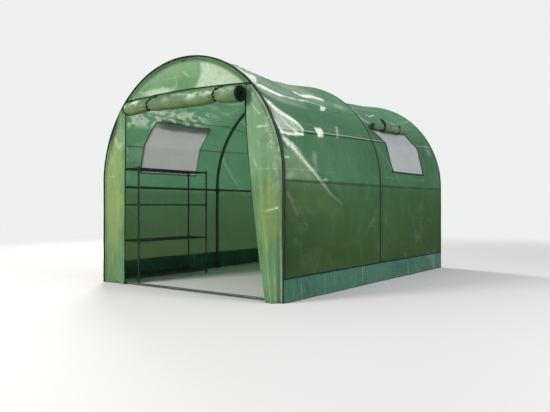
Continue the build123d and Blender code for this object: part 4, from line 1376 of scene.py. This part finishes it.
def repeat_along(name, rows, spacing, size, finish, uneven=0.12):
    """Mesh of small pieces at even steps along rows, made by the node tree and then kept plain"""
    tree = bpy.data.node_groups.get("repeat_along_lines") or repeat_tree()
    edges, start = [], 0
    for points, _ in rows:
        edges += [(start + i, start + i + 1) for i in range(len(points) - 1)]
        start += len(points)
    mesh = bpy.data.meshes.new(name + "_lines")
    mesh.from_pydata(np.concatenate([points for points, _ in rows]).tolist(), edges, [])
    outward = np.concatenate([normals for _, normals in rows]).astype(np.float32)
    mesh.attributes.new("outward", "FLOAT_VECTOR", "POINT").data.foreach_set("vector", outward.ravel())
    source = bpy.data.objects.new(name + "_source", mesh)
    bpy.context.collection.objects.link(source)
    modifier = source.modifiers.new("repeat", "NODES")
    modifier.node_group = tree
    ids = {item.name: item.identifier for item in tree.interface.items_tree if item.in_out == "INPUT"}
    for key, value in (("Spacing", spacing), ("Piece length", size[0]), ("Piece width", size[1]),
                       ("Piece height", size[2]), ("Unevenness", uneven), ("Seed", 7),
                       ("Finish", material(finish))):
        modifier[ids[key]] = value
    plain = bpy.data.meshes.new_from_object(source.evaluated_get(bpy.context.evaluated_depsgraph_get()))
    plain.name = name
    bpy.data.objects.remove(source)
    bpy.data.meshes.remove(mesh)
    if "outward" in plain.attributes:
        plain.attributes.remove(plain.attributes["outward"])
    plain.shade_smooth()
    if not len(plain.polygons):
        raise RuntimeError(f"{name} has no pieces")
    add_piece(plain, finish)


def stitch(name, rows):
    """Stitches along rows"""
    repeat_along(name, rows, settings("trim").stitch_spacing, STITCH, "thread")


# Windows

def window_net(side):
    """Insect net in the cut-out, a little slack, with its edges under the binding"""
    front, rear, low, high = WINDOWS[side]
    name = f"{SIDE_NAMES[side]}_window_net"
    y = even(front - SEWN_IN, rear + SEWN_IN, SOFT_CELL)[None, :]
    s = even(low - SEWN_IN, high + SEWN_IN, SOFT_CELL)[:, None]
    t, u = (y - front) / (rear - front), (s - low) / (high - low)
    slack = np.clip(16 * t * (1 - t) * u * (1 - u), 0, 1)
    lift = -0.0022 - 0.010 * slack + 0.0035 * slack * folds(y / 0.20, s / 0.16, 241 + side)
    mesh = sheet_mesh(name + "_cloth", cover_place(side, y, s, lift), joined(y, s), flip=side == LEFT)
    piece = add_piece(mesh, "net", (name,), thickness=0.0009)


def window_edge(side):
    """Binding round a window, on the film, with each side run past the corners; gives its lines of
    stitches too
    """
    front, rear, low, high = WINDOWS[side]
    half = 0.008
    corners = ((front, low), (rear, low), (rear, high), (front, high))
    tapes, rows = [], []
    for (y0, s0), (y1, s1) in zip(corners, corners[1:] + corners[:1]):
        length = math.hypot(y1 - y0, s1 - s0)
        dy, ds = (y1 - y0) / length, (s1 - s0) / length
        t = even(-half, length + half, TAPE_STEP)
        wave = 0.0012 * waves(t / 0.09, 0, abs(int(y0 * 100)) + 300 + side)
        y, s = y0 + dy * t + ds * wave, s0 + ds * t + dy * wave
        path, outward = cover_place(side, y, s, lift=0.0016), cover_normal(side, y, s)
        tape, more = sewn_band(path, np.cross(outward, heading(path)), outward, width=2 * half,
                               thickness=0.0034, lift=0.0020, ways=(-0.0055, 0.0055))
        tapes.append(tape)
        rows += more
    return tapes, rows


def flap_ties(side):
    """Places of the two ties along a rolled flap"""
    middle = sum(WINDOWS[side][:2]) / 2 + 0.02
    return middle - 0.17, middle + 0.17


def flap_radius(side, y):
    """Radius of the rolled flap at y: fat at the front end, slimmer towards the rear, tied in twice"""
    front, rear = WINDOWS[side][:2]
    t = (y - front) / (rear - front)
    radius = 0.048 - 0.012 * ramp(t, 0.05, 0.95) + 0.005 * np.cos(t * 17)
    radius = radius * (0.55 + 0.45 * ramp(t, 0.02, 0.20)) * (0.70 + 0.30 * ramp(1 - t, 0.0, 0.12))
    return radius - sum(0.010 * bell(y - tie, 0.030) for tie in flap_ties(side))


def flap_seat(side, y):
    """Middle of the rolled flap at y, which lies on the film at the window's head, the outward
    directions there and the roll's radius"""
    high, radius = WINDOWS[side][3], flap_radius(side, y)
    s = high - (0.010 if side == RIGHT else 0.030) + 0.008 * waves(y / 0.22, 0, 261 + side)
    centre = cover_place(side, y, s) + cover_normal(side, y, s) * (radius + 0.004)[..., None]
    return centre, cover_normal(side, y, np.full_like(y, high + 0.006)), radius


def rolled_flap(side):
    """Window flap rolled up at the window's head"""
    front, rear, _, high = WINDOWS[side]
    y = even(front + 0.035, rear + 0.012, SOFT_CELL)
    t = np.concatenate([np.linspace(0, FLAP_HANG, 6)[:-1], np.linspace(FLAP_HANG, 1, 118)])
    centre, outward, radius = flap_seat(side, y)
    up = np.cross(outward, heading(centre)) * side
    up *= np.sign(up[:, 2:3])
    share, inward, turn = winding(t[:, None], FLAP_HANG, 0.85, settings("windows").flap_turns)
    outer = 1 - ramp(share, 0.15, 0.5)
    r = radius * (1 - inward) + 0.011 * inward + outer * (
        0.0080 * folds(y / 0.085, turn / 1.5, 251 + side) + 0.0025 * waves(y / 0.03, turn / 0.8, 252)
        - 0.002)
    angle = math.pi * 0.62 - turn
    points = centre + outward * (r * np.cos(angle))[..., None] + up * (r * np.sin(angle))[..., None]
    # Its first edge is sewn under the binding at the window's head
    seam = cover_place(side, y, np.full_like(y, high + 0.012), 0.002)
    ease = ramp(t, 0.0, FLAP_HANG)[:, None, None]
    points = seam * (1 - ease) + points * ease
    points[..., 1] += 0.010 * np.sin(turn * 0.45) * ramp(share, 0.0, 0.15)
    steps = lengths_along(points[:, points.shape[1] // 2])
    # Painted light: highlights in streaks along the top of the outer turns, a faint lightening of them
    # all, and painted shade in patches
    streaks = ramp(folds(y / 0.05, turn / 0.8, 254), 0.0, 0.5)
    crushed_and_glare = outer * bell(turn - 5.6, 0.8) * (0.10 + 0.70 * streaks)
    fold_shade = 0.35 * outer * ramp(waves(y / 0.035, turn / 0.5, 256), 0.15, 0.7)
    mesh = sheet_mesh(f"{SIDE_NAMES[side]}_rolled_flap", points, joined(y, steps[:, None]),
                      painted_light=joined(np.maximum(0.06 * outer, crushed_and_glare), fold_shade, 0.0))
    piece = add_piece(mesh, "film", ("window_flap_rolls",), settings("cover").thickness, offset=0.0)


def flap_straps(side):
    """Straps round a rolled flap, each with a loose loop; the front one's is large"""
    straps = []
    # Half sizes of each loop, how high it stands and how wide its band is
    loops = (((0.024, 0.047), 0.022, 0.011), ((0.012, 0.020), 0.006, 0.008))
    for tie, ((wide, tall), rise, width) in zip(flap_ties(side), loops):
        centre, outward, radius = (part[0] for part in flap_seat(side, np.array([tie])))
        up = unit(UP - outward * outward[2])
        across = np.cross(outward, up)
        path = np.array([centre + (radius + 0.0045) * (outward * math.cos(a) + up * math.sin(a))
                         for a in np.radians(np.linspace(215, -130, 44))])
        away = np.cross(heading(path), across)
        away *= np.sign(np.dot(away[20], path[20] - centre))
        straps.append(ribbon(path, across, away, width=0.019, thickness=0.0026))
        stand = centre + outward * (radius + 0.0085) + up * rise
        ring = np.array([stand + across * (wide * math.cos(a)) + up * (tall * math.sin(a))
                         + outward * (0.010 * math.sin(a) + 0.004 * math.cos(2 * a))
                         for a in np.linspace(0, 2 * math.pi, 33)[:-1]])
        along = unit(np.roll(ring, -1, axis=0) - np.roll(ring, 1, axis=0))
        radial = ring - stand
        radial = unit(radial - along * np.sum(radial * along, axis=1)[:, None])
        straps.append(ribbon(ring, np.cross(along, radial), radial, width, thickness=0.0042, closed=True))
    return straps


def make_windows():
    """Nets, bindings, rolled flaps and their straps of both windows"""
    tapes, straps, rows = [], [], []
    for side in SIDE_NAMES:
        window_net(side)
        rolled_flap(side)
        edge, more = window_edge(side)
        tapes += edge
        rows += more
        straps += flap_straps(side)
    add_tapes("window_tapes", tapes, "window_bindings")
    add_tapes("flap_tie_straps", straps, "window_flap_ties")
    stitch("window_stitches", rows)


# The stage

def make_floor(colour):
    """Pale floor that fades into the plain background well away from the tunnel"""
    reach = 40.0
    mesh = bpy.data.meshes.new("floor")
    mesh.from_pydata([(-reach, -reach, 0), (reach, -reach, 0), (reach, reach, 0), (-reach, reach, 0)],
                     [], [(0, 1, 2, 3)])
    floor = bpy.data.objects.new("floor", mesh)
    floor.location.z = -0.0006
    bpy.context.collection.objects.link(floor)
    paint, tree = new_material("floor_paint")
    place = tree.place()
    cloud = tree.mix(tree.noise(place, 0.8, 4.0), colour, scaled(colour, 0.97))
    surface = tree.paint(cloud, roughness=0.9, specular=0.1)
    distance = tree.add("ShaderNodeVectorMath", {0: place}, operation="LENGTH").outputs["Value"]
    tree.finish(tree.blend(tree.spread(distance, 3.2, 9.0), surface, tree.clear()))
    mesh.materials.append(paint)


def make_lights(scene):
    """Studio surroundings and three soft square lamps"""
    world = scene.world = bpy.data.worlds.new("studio")
    world.use_nodes = True
    tree = Tree(world.node_tree)
    rays = tree.add("ShaderNodeLightPath").outputs
    seen = tree.math("MAXIMUM", rays["Is Camera Ray"], rays["Is Transmission Ray"])
    light = tree.add("ShaderNodeBackground", {"Color": (0.96, 0.98, 1.0, 1), "Strength": 0.62}).outputs[0]
    back = tree.add("ShaderNodeBackground", {"Color": (0.86, 0.87, 0.87, 1), "Strength": 1.0}).outputs[0]
    tree.add("ShaderNodeOutputWorld", {"Surface": tree.blend(seen, light, back)})
    for name, place, target, size, power, colour in (
            ("back", (-6.0, 3.2, 5.6), (-0.3, -0.2, 1.4), 2.0, 720, (1.0, 0.97, 0.91)),
            ("front", (-2.6, -8.4, 3.7), (-0.2, -1.2, 1.0), 2.6, 940, (1.0, 0.97, 0.91)),
            ("side", (7.0, -0.5, 4.2), (0.5, 0, 0.9), 3.2, 430, (0.98, 0.99, 1.0))):
        data = bpy.data.lights.new(name, "AREA")
        data.shape, data.size, data.energy, data.color = "SQUARE", size, power, colour
        lamp = bpy.data.objects.new(name, data)
        bpy.context.collection.objects.link(lamp)
        lamp.location = place
        lamp.rotation_euler = (Vector(target) - Vector(place)).to_track_quat("-Z", "Y").to_euler()


def make_camera(scene, chosen):
    """Camera of the photo"""
    camera = bpy.data.cameras.new("camera")
    camera.sensor_width, camera.lens, camera.clip_end = 36.0, chosen.lens, 100.0
    scene.camera = bpy.data.objects.new("camera", camera)
    scene.collection.objects.link(scene.camera)
    scene.camera.location = (chosen.eye_right, FRONT - chosen.eye_front, chosen.eye_height)
    scene.camera.rotation_euler = (math.pi / 2, 0.0, chosen.turn)


# The operators, one for each group of pieces

class POLYTUNNEL_OT_stage(bpy.types.Operator):
    """Makes the pale floor, the soft lights and the camera"""

    bl_idname = "polytunnel.stage"
    bl_label = "Stage"
    bl_options = {"REGISTER", "UNDO"}

    def execute(self, context):
        context.scene.view_settings.view_transform = "Standard"
        make_floor(settings("stage").floor_colour)
        make_lights(context.scene)
        make_camera(context.scene, settings("stage"))
        return {"FINISHED"}


class POLYTUNNEL_OT_frame(bpy.types.Operator):
    """Gives the tubes, sockets and staging of the frame their finishes"""

    bl_idname = "polytunnel.frame"
    bl_label = "Frame finishes"
    bl_options = {"REGISTER", "UNDO"}

    def execute(self, context):
        finishes = {"frame_steel": "steel", "socket_plastic": "plastic", "staging_steel": "rack"}
        for entry in frame["record"]["subparts"]:
            if entry["material_slot"] in finishes:
                mesh = frame["nodes"][entry["node"]].data
                mesh.materials.clear()
                mesh.materials.append(material(finishes[entry["material_slot"]]))
        return {"FINISHED"}


class POLYTUNNEL_OT_cover(bpy.types.Operator):
    """Makes both halves of the film cover, slack between the hoops and creased at them"""

    bl_idname = "polytunnel.cover"
    bl_label = "Cover"
    bl_options = {"REGISTER", "UNDO"}

    def execute(self, context):
        make_cover(RIGHT)
        make_cover(LEFT)
        return {"FINISHED"}


class POLYTUNNEL_OT_ends(bpy.types.Operator):
    """Makes the gable film, both jambs and the rear panel"""

    bl_idname = "polytunnel.ends"
    bl_label = "Ends"
    bl_options = {"REGISTER", "UNDO"}

    def execute(self, context):
        make_ends()
        return {"FINISHED"}


class POLYTUNNEL_OT_skirts(bpy.types.Operator):
    """Makes the skirts of heavier film that reach the ground"""

    bl_idname = "polytunnel.skirts"
    bl_label = "Skirts"
    bl_options = {"REGISTER", "UNDO"}

    def execute(self, context):
        make_skirts()
        return {"FINISHED"}


class POLYTUNNEL_OT_door(bpy.types.Operator):
    """Makes the door, rolled up under the doorway's head and tied twice"""

    bl_idname = "polytunnel.door"
    bl_label = "Rolled door"
    bl_options = {"REGISTER", "UNDO"}

    def execute(self, context):
        make_door()
        return {"FINISHED"}


class POLYTUNNEL_OT_tapes(bpy.types.Operator):
    """Makes the piping, bands and bindings, with their stitches"""

    bl_idname = "polytunnel.tapes"
    bl_label = "Tapes and piping"
    bl_options = {"REGISTER", "UNDO"}

    def execute(self, context):
        stitch("tape_stitches", [*edge_piping(-1), *edge_piping(1), *middle_band(), *skirt_tapes(),
                                 *head_tape()])
        return {"FINISHED"}


class POLYTUNNEL_OT_zips(bpy.types.Operator):
    """Makes the zip tapes of the doorway, with their teeth and stitches"""

    bl_idname = "polytunnel.zips"
    bl_label = "Zips"
    bl_options = {"REGISTER", "UNDO"}

    def execute(self, context):
        teeth, rows = zip_tapes()
        repeat_along("zip_teeth", teeth, settings("trim").tooth_spacing, TOOTH, "teeth", 0.0)
        stitch("zip_stitches", rows)
        return {"FINISHED"}


class POLYTUNNEL_OT_windows(bpy.types.Operator):
    """Makes the netted windows, their bindings and the flaps rolled up over them"""

    bl_idname = "polytunnel.windows"
    bl_label = "Windows"
    bl_options = {"REGISTER", "UNDO"}

    def execute(self, context):
        make_windows()
        return {"FINISHED"}


OPERATORS = (POLYTUNNEL_OT_stage, POLYTUNNEL_OT_frame, POLYTUNNEL_OT_cover, POLYTUNNEL_OT_ends,
             POLYTUNNEL_OT_skirts, POLYTUNNEL_OT_door, POLYTUNNEL_OT_tapes, POLYTUNNEL_OT_zips,
             POLYTUNNEL_OT_windows)


class POLYTUNNEL_PT_panel(bpy.types.Panel):
    """Lists the sizes and the pieces of the tunnel"""

    bl_idname = "POLYTUNNEL_PT_panel"
    bl_label = "Polytunnel greenhouse"
    bl_space_type = "VIEW_3D"
    bl_region_type = "UI"
    bl_category = "Polytunnel"

    def draw(self, context):
        for name, group in SETTINGS.items():
            box = self.layout.box()
            box.label(text=name.capitalize())
            for key in group.__annotations__:
                box.prop(settings(name), key)
        for operator in OPERATORS:
            self.layout.operator(operator.bl_idname)


CLASSES = (*SETTINGS.values(), *OPERATORS, POLYTUNNEL_PT_panel)


def register():
    for kind in CLASSES:
        bpy.utils.register_class(kind)
    for name, group in SETTINGS.items():
        setattr(bpy.types.Scene, f"polytunnel_{name}", bpy.props.PointerProperty(type=group))


def unregister():
    for name in SETTINGS:
        delattr(bpy.types.Scene, f"polytunnel_{name}")
    for kind in reversed(CLASSES):
        bpy.utils.unregister_class(kind)


def main():
    register()
    bpy.ops.polytunnel.stage()
    bpy.ops.polytunnel.frame()
    bpy.ops.polytunnel.cover()
    bpy.ops.polytunnel.ends()
    bpy.ops.polytunnel.skirts()
    bpy.ops.polytunnel.door()
    bpy.ops.polytunnel.tapes()
    bpy.ops.polytunnel.zips()
    bpy.ops.polytunnel.windows()


if __name__ == "__main__":
    main()
